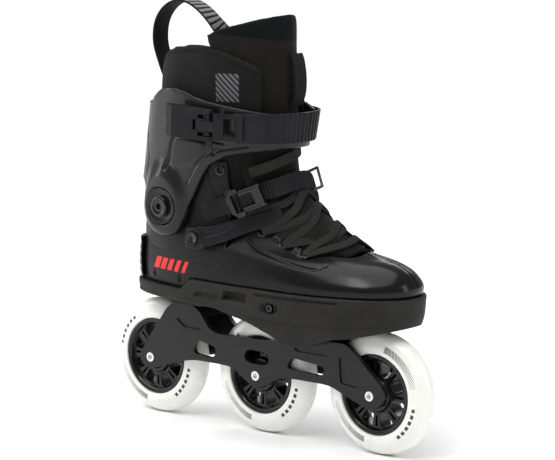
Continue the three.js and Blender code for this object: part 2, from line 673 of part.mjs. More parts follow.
// A flat band through points given as [x, y, z], with its width along a direction.
function flatBand(points, width, thickness, widthAxis, steps) {
  const curve = new THREE.CatmullRomCurve3(points.map((p) => new THREE.Vector3(...p)));
  const rings = curve.getSpacedPoints(steps).map((point, i) => {
    const along = curve.getTangentAt(i / steps);
    const out = along.clone().cross(widthAxis).normalize();
    const across = out.clone().cross(along).normalize();
    return [[-1, -1], [-1, 1], [1, 1], [1, -1]].map(([side, face]) => point.clone()
      .addScaledVector(across, side * width / 2)
      .addScaledVector(out, face * thickness / 2));
  });
  return loft(rings);
}

// Lace rows of one side: angle of the eyelet, its height, and the height of the ridge
// that the lace crosses.
const EYELETS = [[38, 52, 62], [48, 54.5, 72], [48.5, 61.5, 86], [52, 71, 102]];
const LACE_LIFT = 3;

function laceRow(from, to, side) {
  const ridge = (from[2] + to[2]) / 2;
  const route = [
    [side * from[0], from[1]], [side * from[0] * 0.55, (from[1] + ridge) / 2], [0, ridge],
    [-side * to[0] * 0.55, (to[1] + ridge) / 2], [-side * to[0], to[1]],
  ].map(([degrees, height]) => [degrees, bootZ(height)]);
  const frames = skinFrames(SHELL_SECTIONS, route, LACE_LIFT);
  return strap(frames, route.map(() => LACE_WIDTH), LACE_THICKNESS);
}

function laces() {
  const rows = [laceRow(EYELETS[0], EYELETS[0], 1)];
  for (let i = 0; i + 1 < EYELETS.length; i += 1) {
    rows.push(laceRow(EYELETS[i], EYELETS[i + 1], -1));
    rows.push(laceRow(EYELETS[i], EYELETS[i + 1], 1));
  }
  return join(...rows);
}

const LOOP_ROUTE = [
  [-115, 196], [-123, 212], [-130, 232], [-128, 251], [-118, 265], [-103, 272], [-88, 271], [-74, 263], [-64, 250],
];

function heelLoop() {
  const route = LOOP_ROUTE.map(([x, z]) => [bootX(x), 0, bootZ(z)]);
  return flatBand(route, LOOP_WIDTH, LOOP_THICKNESS, new THREE.Vector3(0, 1, 0), 14);
}

add('liner_lower', linerLower(), 'fabric');
add('liner_upper', linerUpper(), 'fabric');
add('tongue_lower', tongue(TONGUE_LOWER), 'fabric');
add('tongue_upper', tongue(TONGUE_UPPER), 'fabric');
add('heel_loop', heelLoop(), 'webbing');
add('laces', laces(), 'lace');

// ---- Cuff ----

const CUFF_LOWER_LINE = [
  [-160, 109], [-124, 108], [-114, 99], [-110, 84], [-104, 72], [-95, 65], [-84, 62], [-75, 63], [-68, 67],
  [-60, 80.5], [-45, 105], [-31, 126], [-20, 133], [0, 140], [80, 150],
];
const CUFF_UPPER_LINE = [
  [-160, 180], [-108, 181], [-98, 186], [-88, 192], [-76, 196], [-56, 195], [-33, 188], [6, 181], [29, 177], [80, 172],
];
const FRONT_GAP = [20, 30];

function ankleRadii() {
  const washer = ANKLE_WASHER_DIAMETER / 2 + FIT;
  return { washer, boss: washer + ANKLE_BOSS_WALL, bolt: ANKLE_BOLT_DIAMETER / 2 };
}

// Distances from the middle of the boot along the ankle axis.
function ankleStack() {
  const cuffSkin = sectionAt(CUFF_SECTIONS, ANKLE.z).half;
  const bossFace = cuffSkin + ANKLE_BOSS_HEIGHT;
  const washer = bossFace - ANKLE_WASHER_THICKNESS;
  const head = bossFace + FIT;
  return {
    shellInside: sectionAt(SHELL_SECTIONS, ANKLE.z).half - SHELL_WALL,
    cuffInside: cuffSkin - CUFF_WALL, bossFace, washer, head, headTop: head + 2,
  };
}

function mirroredY(side, low, high) {
  return side < 0 ? [-high, -low] : [low, high];
}

function cuff() {
  const [bottom, top] = [bootZ(56), bootZ(198)];
  const wide = bootY(80);
  const skin = cut(body(CUFF_SECTIONS, bottom, top), body(CUFF_SECTIONS, bottom - 5, top + 5, -CUFF_WALL));
  const onBoot = (line) => line.map(([x, z]) => [bootX(x), bootZ(z)]);
  const below = slabY([...onBoot(CUFF_LOWER_LINE), [bootX(80), bottom - 20], [bootX(-160), bottom - 20]], -wide, wide);
  const above = slabY([...onBoot(CUFF_UPPER_LINE), [bootX(80), top + 20], [bootX(-160), top + 20]], -wide, wide);
  const { washer, boss, bolt } = ankleRadii();
  const { cuffInside, bossFace, washer: seat } = ankleStack();
  const bosses = [-1, 1].map((side) => barY(boss, ...mirroredY(side, cuffInside, bossFace), ANKLE.x, ANKLE.z, WHEEL_SIDES));
  const seats = [-1, 1].map((side) => (
    barY(washer, ...mirroredY(side, seat - FIT, bossFace + 9), ANKLE.x, ANKLE.z, WHEEL_SIDES)));
  const gap = box(bootX(0), bootX(80), bootY(FRONT_GAP[0]), bootY(FRONT_GAP[1]), bottom, top + 9);
  const trimmed = cut(skin, below, above, gap);
  return cut(join(trimmed, ...bosses), ...seats, ankleBores(bolt + ANKLE_CLEARANCE));
}

function ankleWasher(side) {
  const { bolt } = ankleRadii();
  const { washer, bossFace } = ankleStack();
  const disc = barY(ANKLE_WASHER_DIAMETER / 2, ...mirroredY(side, washer, bossFace), ANKLE.x, ANKLE.z, WHEEL_SIDES);
  return cut(disc, ankleBores(bolt + ANKLE_CLEARANCE));
}

function ankleBolt(side) {
  const { bolt } = ankleRadii();
  const { shellInside, head, headTop } = ankleStack();
  const shaft = barY(bolt, ...mirroredY(side, shellInside + FIT, head + 1), ANKLE.x, ANKLE.z);
  const cap = barY(ANKLE_HEAD_DIAMETER / 2, ...mirroredY(side, head, headTop), ANKLE.x, ANKLE.z, WHEEL_SIDES);
  const socket = barY(SOCKET_DIAMETER / 2 + 1, ...mirroredY(side, headTop - 3, headTop + 5), ANKLE.x, ANKLE.z, 6);
  return cut(join(shaft, cap), socket);
}

for (const [name, side] of [['outer', -1], ['inner', 1]]) {
  add(`ankle_washer_${name}`, ankleWasher(side), 'cuffPlastic');
  add(`ankle_bolt_${name}`, ankleBolt(side), 'glossPlastic');
}

// ---- Cuff buckle and strap ----

const STRAP_MIDDLE = bootZ(164);
const STRAP_LIFT = 2;
const CUFF_STRAP_ROUTE = [-58, -47, -34, -20, -6, 8, 22, 36, 50, 66, 82, 96].map((degrees) => [degrees, STRAP_MIDDLE]);
const CUFF_LEVER_AT = -74;
const LEVER_LIFT = 3;
const LEVER_DROP = 0.5;

function cuffStrap() {
  const frames = skinFrames(CUFF_SECTIONS, CUFF_STRAP_ROUTE, STRAP_LIFT);
  return strap(frames, frames.map(() => CUFF_STRAP_HEIGHT), STRAP_THICKNESS);
}

// The lever's hinge line: on the outer skin, pointing along the boot.
function leverFrame() {
  const height = STRAP_MIDDLE + LEVER_LIFT;
  const [frame] = skinFrames(CUFF_SECTIONS, [[CUFF_LEVER_AT, height], [CUFF_LEVER_AT + 4, height - LEVER_DROP]], 0);
  return frame;
}

const BASE_THICKNESS = 3;
const NOSE_RADIUS = CUFF_LEVER_THICKNESS / 2 + FIT;
const PIN_LIFT = BASE_THICKNESS + 2 * FIT + NOSE_RADIUS;
const LEVER_TOP = PIN_LIFT + CUFF_LEVER_THICKNESS / 2;
const EAR_PLACE = CUFF_LEVER_HEIGHT / 2 - 6;
const EAR_THICKNESS = 3;
const LINK_NECK = 4.5;
const LINK_OVER_STRAP = 0.9;
const LINK_PIVOT = { x: -9, z: LEVER_TOP - LINK_THICKNESS - 0.2, reach: 6.5 };

function pinBore(diameter, x, z, reach = 30) {
  return barY(diameter / 2 + FIT, -reach, reach, x, z);
}

function cuffBase(frame) {
  const [low, high] = [-CUFF_LEVER_LENGTH * 0.8, NOSE_RADIUS + 1];
  const half = CUFF_LEVER_HEIGHT / 2 - 4;
  const plate = box(low, high, -half, half, -8, BASE_THICKNESS);
  const ears = [-1, 1].map((side) => {
    const y = side * EAR_PLACE;
    const halfEar = EAR_THICKNESS / 2;
    return box(-3, 3, y - halfEar, y + halfEar, 0, PIN_LIFT + PIN_DIAMETER / 2 + 1.4);
  });
  const local = cut(join(plate, ...ears), pinBore(PIN_DIAMETER, 0, PIN_LIFT));
  const skin = body(CUFF_SECTIONS, bootZ(120), bootZ(198), FIT);
  return cut(placed(local, frame), skin);
}

function cuffLever(frame) {
  const half = CUFF_LEVER_HEIGHT / 2;
  const under = PIN_LIFT - CUFF_LEVER_THICKNESS / 2;
  const nose = [-90, -45, 0, 45, 90].map((degrees) => {
    const angle = THREE.MathUtils.degToRad(degrees);
    const radius = CUFF_LEVER_THICKNESS / 2;
    return [radius * Math.cos(angle), PIN_LIFT + radius * Math.sin(angle)];
  });
  const tail = -CUFF_LEVER_LENGTH;
  const blank = slabY([...nose, [tail + 8, LEVER_TOP], [tail, LEVER_TOP - 4], [tail, under]], -half, half);
  const slots = [-1, 1].map((side) => {
    const y = side * EAR_PLACE;
    const room = EAR_THICKNESS / 2 + FIT;
    return box(-8, NOSE_RADIUS + 1, y - room, y + room, under - 1, LEVER_TOP + 1);
  });
  const neckRoom = box(LINK_PIVOT.x - 4, NOSE_RADIUS + 1, -LINK_NECK - FIT, LINK_NECK + FIT, under - 1, LEVER_TOP + 1);
  const linkBore = pinBore(LINK_THICKNESS, LINK_PIVOT.x, LINK_PIVOT.z, LINK_PIVOT.reach + FIT);
  return placed(cut(blank, ...slots, neckRoom, linkBore, pinBore(PIN_DIAMETER, 0, PIN_LIFT)), frame);
}

function cuffPin(frame) {
  const half = CUFF_LEVER_HEIGHT / 2 - 0.5;
  return placed(barY(PIN_DIAMETER / 2, -half, half, 0, PIN_LIFT), frame);
}

// Height of the cuff strap's outer face in the lever's frame, at a distance along it.
function strapRise({ point, along, out }, x) {
  const frames = skinFrames(CUFF_SECTIONS, CUFF_STRAP_ROUTE, STRAP_LIFT + STRAP_THICKNESS);
  const places = frames.map((frame) => frame.point.clone().sub(point)).map((p) => [p.dot(along), p.dot(out)]);
  let row = 0;
  while (row < places.length - 2 && places[row + 1][0] < x) row += 1;
  const [[x0, z0], [x1, z1]] = [places[row], places[row + 1]];
  return z0 + (z1 - z0) * (x - x0) / (x1 - x0);
}

// The plate that ties the lever to the strap: a neck over the pin and a window plate.
function cuffLink(frame) {
  const [low, top] = [LEVER_TOP - LINK_THICKNESS, LEVER_TOP];
  const [x0, x1, x2, x3] = [LINK_PIVOT.x - LINK_THICKNESS / 2, NOSE_RADIUS + 2, 20, 32];
  const neck = slabY([[x0, low], [x1 + 1, low], [x1 + 1, top], [x0, top]], -LINK_NECK, LINK_NECK);
  const [z2, z3] = [x2, x3].map((x) => strapRise(frame, x) + LINK_OVER_STRAP);
  const plate = slabY([
    [x1, low], [x2, z2], [x3, z3], [x3 + 0.8, z3 + LINK_THICKNESS], [x2 + 0.8, z2 + LINK_THICKNESS], [x1 + 1, top],
  ], -CUFF_LEVER_HEIGHT / 2 + 2, CUFF_LEVER_HEIGHT / 2 - 2);
  const opening = box(x2 - 4, x3 - 5, -8, 8, -20, 20);
  const pivot = barY(LINK_THICKNESS / 2, -LINK_PIVOT.reach, LINK_PIVOT.reach, LINK_PIVOT.x, LINK_PIVOT.z);
  return placed(join(cut(plate, opening), neck, pivot), frame);
}

const STRAP_SCREW_ANGLE = 88;

function strapScrewBore(radius, low, high) {
  const { x, z } = skinPoint(CUFF_SECTIONS, STRAP_MIDDLE, STRAP_SCREW_ANGLE);
  return barY(radius, low, high, x, z);
}

function cuffStrapScrew() {
  const face = skinPoint(CUFF_SECTIONS, STRAP_MIDDLE, STRAP_SCREW_ANGLE).y;
  const head = face + STRAP_LIFT + STRAP_THICKNESS + 1;
  return join(strapScrewBore(2.5, face - CUFF_WALL, head + 1), strapScrewBore(5, head, head + 2));
}

const strapHole = strapScrewBore(2.5 + FIT, 0, bootY(90));
add('cuff', cut(cuff(), strapHole), 'cuffPlastic');
add('cuff_strap', cut(cuffStrap(), strapHole), 'strapPlastic');
add('cuff_strap_screw', cuffStrapScrew(), 'glossPlastic');
add('cuff_buckle_base', cuffBase(leverFrame()), 'strapPlastic');
add('cuff_lever', cuffLever(leverFrame()), 'glossPlastic');
add('cuff_lever_pin', cuffPin(leverFrame()), 'steel');
add('cuff_link', cuffLink(leverFrame()), 'glossPlastic');

// ---- Instep strap and ratchet ----

// Routes over the shell, as angle and height, for the outer side.
const ARM_ROUTE = [[-97, 60.5], [-89, 61.2], [-81, 63], [-71, 67.5], [-57, 76], [-42, 85]];
const ARM_LIFT = 2.5;
const STRAP_ROUTE = [
  [-74, 85], [-67, 90], [-59, 95], [-50, 101], [-43, 105.5], [-36, 109], [-27, 112], [-14, 115.5], [0, 116.5],
  [12, 114], [24, 107], [36, 96], [47, 86], [57, 78],
];
const STRAP_OVER_ARM = 1.6;
const TOOTHED_LIFT = ARM_LIFT + STRAP_THICKNESS + STRAP_OVER_ARM;
const RATCHET_ROUTE = [[-51, 100.5], [-47, 103], [-43, 105.5]];

function armSide(offset) {
  return sectionAt(SHELL_SECTIONS, ARM_PIVOT.z).half + offset;
}

function arm(side) {
  const route = ARM_ROUTE.map(([degrees, height]) => [-side * degrees, bootZ(height)]);
  const frames = skinFrames(SHELL_SECTIONS, route, ARM_LIFT);
  const heights = [1, 1.2, 1, 0.95, 0.85, 0.7].map((share) => share * ARM_HEIGHT);
  const span = mirroredY(side, armSide(ARM_LIFT - 0.5), armSide(ARM_LIFT + STRAP_THICKNESS + 1));
  const boss = barY(ARM_HEIGHT / 2 + 1, ...span, ARM_PIVOT.x, ARM_PIVOT.z);
  const wide = bootY(90);
  const bore = barY(ARM_SCREW_DIAMETER / 2 + FIT, -wide, wide, ARM_PIVOT.x, ARM_PIVOT.z);
  return cut(join(strap(frames, heights, STRAP_THICKNESS), boss), bore);
}

function armScrew(side) {
  const face = armSide(ARM_LIFT + STRAP_THICKNESS + 1 + FIT);
  const shaftSpan = mirroredY(side, armSide(FIT - SHELL_WALL), face + 1);
  const shaft = barY(ARM_SCREW_DIAMETER / 2, ...shaftSpan, ARM_PIVOT.x, ARM_PIVOT.z);
  const head = barY(ARM_SCREW_HEAD / 2, ...mirroredY(side, face, face + 2), ARM_PIVOT.x, ARM_PIVOT.z);
  const socket = barY(2.2, ...mirroredY(side, face + 0.5, face + 9), ARM_PIVOT.x, ARM_PIVOT.z, 6);
  return cut(join(shaft, head), socket);
}

function toothedStrap(grow = 0) {
  const route = STRAP_ROUTE.map(([degrees, height]) => [degrees, bootZ(height)]);
  const frames = skinFrames(SHELL_SECTIONS, route, TOOTHED_LIFT - grow);
  return strap(frames, route.map(() => INSTEP_STRAP_HEIGHT + 2 * grow), STRAP_THICKNESS + 2 * grow);
}

function ratchetFrame() {
  const route = RATCHET_ROUTE.map(([degrees, height]) => [degrees, bootZ(height)]);
  return skinFrames(SHELL_SECTIONS, route, TOOTHED_LIFT)[1];
}

const RATCHET_PIN = { x: 9, z: STRAP_THICKNESS + 5.6 };
const RATCHET_WALL = 1.6;
const PAWL_PIN = { x: -2, z: STRAP_THICKNESS + 2 };

function ratchetBody(frame) {
  const half = RATCHET_WIDTH / 2;
  const [low, high] = [-RATCHET_LENGTH / 2, RATCHET_LENGTH / 2];
  const plate = box(low, high, -half, half, -2.6, -0.6);
  const walls = [-1, 1].map((side) => box(
    low + 6, high, ...mirroredY(side, half - RATCHET_WALL, half), -2.6, RATCHET_HEIGHT));
  const bores = [RATCHET_PIN, PAWL_PIN].map(({ x, z }) => pinBore(PIN_DIAMETER, x, z));
  return cut(placed(cut(join(plate, ...walls), ...bores), frame), toothedStrap(FIT));
}

// The lever is a ring for a finger, with a hinge tongue between the ratchet's walls.
function ratchetLever(frame) {
  const [z0, z1] = [RATCHET_PIN.z - 1.5, RATCHET_PIN.z + 3.5];
  const tongueHalf = RATCHET_WIDTH / 2 - RATCHET_WALL - FIT;
  const ringHalf = RATCHET_WIDTH / 2 + 3;
  const end = RATCHET_PIN.x - LEVER_RING_LENGTH;
  const side = [[end, ringHalf * 0.55], [end + 5, ringHalf], [-9, ringHalf], [-8, tongueHalf], [RATCHET_PIN.x + 3, tongueHalf]];
  const outline = [...side, ...side.slice().reverse().map(([x, y]) => [x, -y])];
  const [holeEnd, holeHalf] = [end + LEVER_RING_BAR, ringHalf - LEVER_RING_BAR];
  const hole = box(holeEnd, RATCHET_PIN.x - 6, -holeHalf, holeHalf, z0 - 1, z1 + 1);
  const blank = slabZ(outline, z0, z1);
  const corner = Math.min(holeHalf, tongueHalf - 2.5);
  const front = box(-9, RATCHET_PIN.x - 5, -corner, corner, z0 - 1, z1 + 1);
  const narrow = cut(hole, box(-9, 20, corner, 40, -40, 40), box(-9, 20, -40, -corner, -40, 40));
  return placed(cut(blank, join(narrow, front), pinBore(PIN_DIAMETER, RATCHET_PIN.x, RATCHET_PIN.z)), frame);
}

function ratchetPawl(frame) {
  const half = RATCHET_WIDTH / 2 - RATCHET_WALL - 3.2;
  const outline = [[-12, 1], [-10, 0.7], [1, 0.7], [2, 3], [-11, 2.6]].map(([x, z]) => [x, z + STRAP_THICKNESS]);
  const eye = barY(PIN_DIAMETER / 2, -RATCHET_WIDTH / 2, RATCHET_WIDTH / 2, PAWL_PIN.x, PAWL_PIN.z);
  return placed(join(slabY(outline, -half, half), eye), frame);
}

function ratchetPin(frame) {
  const half = RATCHET_WIDTH / 2 - 0.2;
  return placed(barY(PIN_DIAMETER / 2, -half, half, RATCHET_PIN.x, RATCHET_PIN.z), frame);
}

// A wire keeper that stands around the strap on the inner side.
function strapKeeper() {
  const route = [[8, 115.2], [12, 114], [16, 112]].map(([degrees, height]) => [degrees, bootZ(height)]);
  const frame = skinFrames(SHELL_SECTIONS, route, TOOTHED_LIFT)[1];
  const [inner, wire] = [INSTEP_STRAP_HEIGHT / 2 + 0.8, 2];
  const [low, high] = [-1.5, STRAP_THICKNESS + 6];
  const outerBox = box(-1.1, 1.1, -inner - wire, inner + wire, low - wire, high + wire);
  return placed(cut(outerBox, box(-9, 9, -inner, inner, low, high)), frame);
}

for (const [name, side] of [['outer', -1], ['inner', 1]]) {
  add(`instep_arm_${name}`, arm(side), 'strapPlastic');
  add(`instep_screw_${name}`, armScrew(side), 'glossPlastic');
}
add('instep_strap', toothedStrap(), 'strapPlastic');
add('strap_keeper', strapKeeper(), 'steel');
add('ratchet_body', ratchetBody(ratchetFrame()), 'glossPlastic');
add('ratchet_lever', ratchetLever(ratchetFrame()), 'glossPlastic');
add('ratchet_pin', ratchetPin(ratchetFrame()), 'steel');
add('ratchet_pawl', ratchetPawl(ratchetFrame()), 'strapPlastic');

export default skate;
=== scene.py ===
"""Looks of the inline skate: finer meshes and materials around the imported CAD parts.

Shapes are worked out in millimetres and turned into metres when a mesh is made.
+X points to the toe, +Y to the inner side of the foot and +Z up.
"""
import math

import bmesh
import bpy
import numpy as np
from mathutils import Matrix, Vector


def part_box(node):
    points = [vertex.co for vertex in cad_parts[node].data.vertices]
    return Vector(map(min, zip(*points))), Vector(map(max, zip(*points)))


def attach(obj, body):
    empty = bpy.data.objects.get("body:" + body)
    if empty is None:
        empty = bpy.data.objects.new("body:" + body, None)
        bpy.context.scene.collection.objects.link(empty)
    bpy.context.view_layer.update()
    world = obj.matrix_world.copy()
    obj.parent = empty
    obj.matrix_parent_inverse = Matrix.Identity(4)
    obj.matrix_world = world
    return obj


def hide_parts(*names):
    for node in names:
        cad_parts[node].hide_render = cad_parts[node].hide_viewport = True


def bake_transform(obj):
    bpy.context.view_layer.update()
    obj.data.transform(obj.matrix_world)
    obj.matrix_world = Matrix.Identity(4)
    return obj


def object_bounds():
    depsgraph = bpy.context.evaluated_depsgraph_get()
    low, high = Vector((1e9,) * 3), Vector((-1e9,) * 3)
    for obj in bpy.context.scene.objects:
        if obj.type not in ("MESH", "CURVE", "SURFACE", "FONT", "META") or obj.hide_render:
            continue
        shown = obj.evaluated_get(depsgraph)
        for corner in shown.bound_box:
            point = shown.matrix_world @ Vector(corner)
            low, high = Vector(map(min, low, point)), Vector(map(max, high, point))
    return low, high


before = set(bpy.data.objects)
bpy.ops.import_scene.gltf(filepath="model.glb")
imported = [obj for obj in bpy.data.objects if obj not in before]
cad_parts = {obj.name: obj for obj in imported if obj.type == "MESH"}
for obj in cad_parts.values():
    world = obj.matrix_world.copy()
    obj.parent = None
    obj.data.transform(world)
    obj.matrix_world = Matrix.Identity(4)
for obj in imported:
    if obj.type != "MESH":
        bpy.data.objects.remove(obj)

CAD_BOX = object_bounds()
MM = 0.001
FINE = 1.2
OUTER, INNER = -1, 1
SIDES = ((OUTER, "outer"), (INNER, "inner"))
PLACES = ("rear", "middle", "front")
SEAT = 120.0
AXLE_Z, AXLE_GAP = 55.0, 129.5
AXLES_X = (-AXLE_GAP, 0, AXLE_GAP)
WIDE = (-80, 80)


# ---- Mesh helpers ----

def linked(name, data):
    obj = bpy.data.objects.new(name, data)
    bpy.context.scene.collection.objects.link(obj)
    return obj


def mesh_object(name, points, faces):
    """A linked object from points in millimetres."""
    mesh = bpy.data.meshes.new(name)
    mesh.from_pydata((np.asarray(points, float) * MM).tolist(), [], faces)
    mesh.update()
    return linked(name, mesh)


def loft_faces(rows, columns, closed_rows=False):
    """Quads between rings of equal length, with flat end caps."""
    faces = []
    for row in range(rows if closed_rows else rows - 1):
        low, high = row * columns, (row + 1) % rows * columns
        for i in range(columns):
            j = (i + 1) % columns
            faces.append((low + i, low + j, high + j, high + i))
    if not closed_rows:
        faces.append(tuple(reversed(range(columns))))
        faces.append(tuple(range((rows - 1) * columns, rows * columns)))
    return faces


def outward(obj):
    """Turns the faces of a closed mesh outwards."""
    work = bmesh.new()
    work.from_mesh(obj.data)
    bmesh.ops.recalc_face_normals(work, faces=work.faces)
    work.to_mesh(obj.data)
    work.free()
    return obj


def loft(name, rings, closed_rows=False):
    rings = np.asarray(rings, float)
    rows, columns = rings.shape[:2]
    return outward(mesh_object(name, rings.reshape(-1, 3), loft_faces(rows, columns, closed_rows)))


def lathe(name, profile, sides=96, closed=True, centre=(0, 0, 0)):
    """A profile of (radius, y) turned about the Y axis through centre."""
    profile = np.asarray(profile, float)
    angles = np.linspace(0, 2 * math.pi, sides, endpoint=False)
    rings = np.stack([
        np.stack([r * np.sin(angles), np.full(sides, y), r * np.cos(angles)], 1) for r, y in profile
    ]) + np.asarray(centre, float)
    return loft(name, rings, closed_rows=closed)


def prism(name, outline, y0, y1):
    """An outline of (x, z) points as a slab from y0 to y1."""
    outline = np.asarray(outline, float)
    rings = [np.stack([outline[:, 0], np.full(len(outline), y), outline[:, 1]], 1) for y in (y0, y1)]
    return loft(name, rings)


def plan(name, outline, z0, z1):
    """An outline of (x, y) points as a slab from z0 to z1."""
    outline = np.asarray(outline, float)
    rings = [np.stack([outline[:, 0], outline[:, 1], np.full(len(outline), z)], 1) for z in (z0, z1)]
    return loft(name, rings)


def block(name, x0, x1, y0, y1, z0, z1):
    return prism(name, [(x0, z0), (x1, z0), (x1, z1), (x0, z1)], y0, y1)


def rod(name, radius, y0, y1, x, z, sides=48):
    return lathe(name, [(radius, y0), (radius, y1)], sides, closed=False, centre=(x, 0, z))


def apply_modifiers(obj):
    bpy.context.view_layer.update()
    graph = bpy.context.evaluated_depsgraph_get()
    mesh = bpy.data.meshes.new_from_object(obj.evaluated_get(graph))
    old = obj.data
    obj.modifiers.clear()
    obj.data = mesh
    bpy.data.meshes.remove(old)
    return obj


def combine(operation, base, others):
    for other in others:
        modifier = base.modifiers.new(operation, "BOOLEAN")
        modifier.operation = operation
        modifier.solver = "MANIFOLD"
        modifier.object = other
    apply_modifiers(base)
    for other in others:
        bpy.data.objects.remove(other)
    return base


def cut(base, *others):
    return combine("DIFFERENCE", base, others)


def join(base, *others):
    return combine("UNION", base, others)


def voxels(obj, size):
    remesh = obj.modifiers.new("voxels", "REMESH")
    remesh.mode = "VOXEL"
    remesh.voxel_size = size * MM


def soften(obj, voxel=FINE, passes=3):
    """Rounds every edge a little, as moulding does, and gives the mesh an even grid."""
    voxels(obj, voxel)
    smooth = obj.modifiers.new("smooth", "SMOOTH")
    smooth.factor = 0.5
    smooth.iterations = passes
    return shade(apply_modifiers(obj))


def shade(obj, degrees=None):
    """Smooth shading, with creases where faces meet at more than an angle."""
    obj.data.polygons.foreach_set("use_smooth", [True] * len(obj.data.polygons))
    if degrees:
        obj.data.set_sharp_from_angle(angle=math.radians(degrees))
    return obj


def bevelled(obj, width, segments=2, degrees=38):
    weld = obj.modifiers.new("weld", "WELD")
    weld.merge_threshold = 0.00002
    bevel = obj.modifiers.new("bevel", "BEVEL")
    bevel.width = width * MM
    bevel.segments = segments
    bevel.limit_method = "ANGLE"
    bevel.angle_limit = math.radians(degrees)
    bevel.harden_normals = True
    return obj


def finished(obj, width, segments=2):
    """A cut piece with its bevels applied."""
    return apply_modifiers(bevelled(shade(obj), width, segments))


def coordinates(obj):
    count = len(obj.data.vertices)
    places, normals = np.empty(count * 3), np.empty(count * 3)
    obj.data.vertices.foreach_get("co", places)
    obj.data.vertices.foreach_get("normal", normals)
    return places.reshape(-1, 3) / MM, normals.reshape(-1, 3)


def displace(obj, offsets):
    """Moves each vertex along its normal by its offset, in millimetres."""
    places, normals = coordinates(obj)
    moved = (places + normals * offsets[:, None]) * MM
    obj.data.vertices.foreach_set("co", moved.ravel())
    obj.data.update()


# ---- Outlines and masks ----

def unit(rows):
    return rows / np.linalg.norm(rows, axis=1)[:, None]


def travelled(points):
    """The length of a line up to each of its points."""
    return np.concatenate([[0], np.cumsum(np.linalg.norm(np.diff(points, axis=0), axis=1))])


def smoothstep(low, high, value):
    t = np.clip((value - low) / (high - low), 0, 1)
    return t * t * (3 - 2 * t)


def rounded(points, radius, steps=5):
    """A closed outline with its corners rounded."""
    points = [np.array(p, float) for p in points]
    result = []
    for i, corner in enumerate(points):
        before, after = points[i - 1] - corner, points[(i + 1) % len(points)] - corner
        reach_a = min(radius, np.linalg.norm(before) / 2.02)
        reach_b = min(radius, np.linalg.norm(after) / 2.02)
        start = corner + before / np.linalg.norm(before) * reach_a
        end = corner + after / np.linalg.norm(after) * reach_b
        for t in np.linspace(0, 1, steps):
            result.append((1 - t) ** 2 * start + 2 * t * (1 - t) * corner + t * t * end)
    return np.array(result)


def curve_through(points, steps=8):
    """A smooth open line through points of any dimension."""
    points = np.asarray(points, float)
    padded = np.vstack([2 * points[0] - points[1], points, 2 * points[-1] - points[-2]])
    result = []
    for i in range(len(points) - 1):
        a, b, c, d = padded[i:i + 4]
        for t in np.linspace(0, 1, steps, endpoint=False):
            result.append(0.5 * (2 * b + (c - a) * t + (2 * a - 5 * b + 4 * c - d) * t ** 2
                                 + (3 * b - a - 3 * c + d) * t ** 3))
    result.append(points[-1])
    return np.array(result)


def distance_to_line(x, z, line):
    line = np.asarray(line, float)
    best = np.full(len(x), 1e9)
    for (x0, z0), (x1, z1) in zip(line[:-1], line[1:]):
        dx, dz = x1 - x0, z1 - z0
        t = np.clip(((x - x0) * dx + (z - z0) * dz) / (dx * dx + dz * dz), 0, 1)
        best = np.minimum(best, np.hypot(x - x0 - t * dx, z - z0 - t * dz))
    return best


def inside_distance(x, z, outline):
    """Distance to a closed outline, positive inside."""
    outline = np.asarray(outline, float)
    inside = np.zeros(len(x), bool)
    for (x0, z0), (x1, z1) in zip(outline, np.roll(outline, -1, 0)):
        if z0 == z1:
            continue
        crosses = (z0 > z) != (z1 > z)
        inside ^= crosses & (x < (x1 - x0) * (z - z0) / (z1 - z0) + x0)
    away = distance_to_line(x, z, np.vstack([outline, outline[:1]]))
    return np.where(inside, away, -away)


def facing(normals, side, low=0.2, high=0.5):
    """1 where a surface looks to a side, fading to 0 where it turns away."""
    return smoothstep(low, high, normals[:, 1] * side)


def side_recess(obj, outline, depth, edge, side):
    """Presses an outline of (x, z) points into one side of a piece, or raises it if the depth is negative."""
    places, normals = coordinates(obj)
    mask = smoothstep(-edge / 2, edge / 2, inside_distance(places[:, 0], places[:, 2], outline))
    displace(obj, -depth * mask * facing(normals, side, 0.25, 0.6))


def side_line(obj, line, width, height, side):
    """A raised or pressed line on one side of a piece."""
    places, normals = coordinates(obj)
    away = distance_to_line(places[:, 0], places[:, 2], line)
    displace(obj, height * smoothstep(width / 2 + 0.9, width / 2 - 0.3, away) * facing(normals, side))


def side_curve(obj, points, width, height, side):
    side_line(obj, curve_through(points, 5), width, height, side)


def add_marks(obj, marks, side):
    """Marks one side of a piece, in order, with recesses, lines and curves."""
    for mark, points, first_size, second_size in marks:
        mark(obj, points, first_size, second_size, side)


# ---- The boot's rounded sections ----

# Height above the sole's seat, rear end, front end, half width, place of the widest
# point, and the squareness of the front and rear halves.
SHELL = [
    (10, -142, 150, 46.5, 55, 2.3, 2.5), (22, -143, 159, 49, 55, 2.3, 2.5),
    (30, -143, 161, 49.5, 50, 2.3, 2.5), (38, -142, 157.5, 48.5, 35, 2.15, 2.5),
    (45, -141, 150, 47, 20, 2, 2.5), (50, -140, 139, 46, 0, 1.85, 2.5),
    (55, -139, 121, 44.8, -20, 1.6, 2.5), (61, -138, 106, 43.5, -40, 1.5, 2.5),
    (72, -136, 86, 42.8, -50, 1.4, 2.5), (85, -133, 66, 42.5, -60, 1.5, 2.4),
    (100, -129, 46, 43, -60, 1.7, 2.3), (115, -124.5, 35, 44.5, -55, 1.9, 2.2),
    (132, -121, 31, 46.5, -50, 2, 2.2),
]
CUFF = [
    (50, -143, 60, 49, -70, 2, 2.5), (83, -142, 50, 48.5, -70, 2, 2.4),
    (115, -136, 38, 50.5, -60, 2, 2.3), (145, -131, 38, 53.5, -50, 2.1, 2.3),
    (180, -125, 42, 56, -45, 2.2, 2.3), (198, -123, 44, 57, -44, 2.2, 2.3),
]
SOLE = [
    (-30, -142, 150, 44, 55, 2.3, 2.5), (-12, -147, 155, 49, 55, 2.3, 2.5),
    (0, -149, 160, 51, 55, 2.3, 2.5), (22, -150, 163, 52, 55, 2.3, 2.5),
]
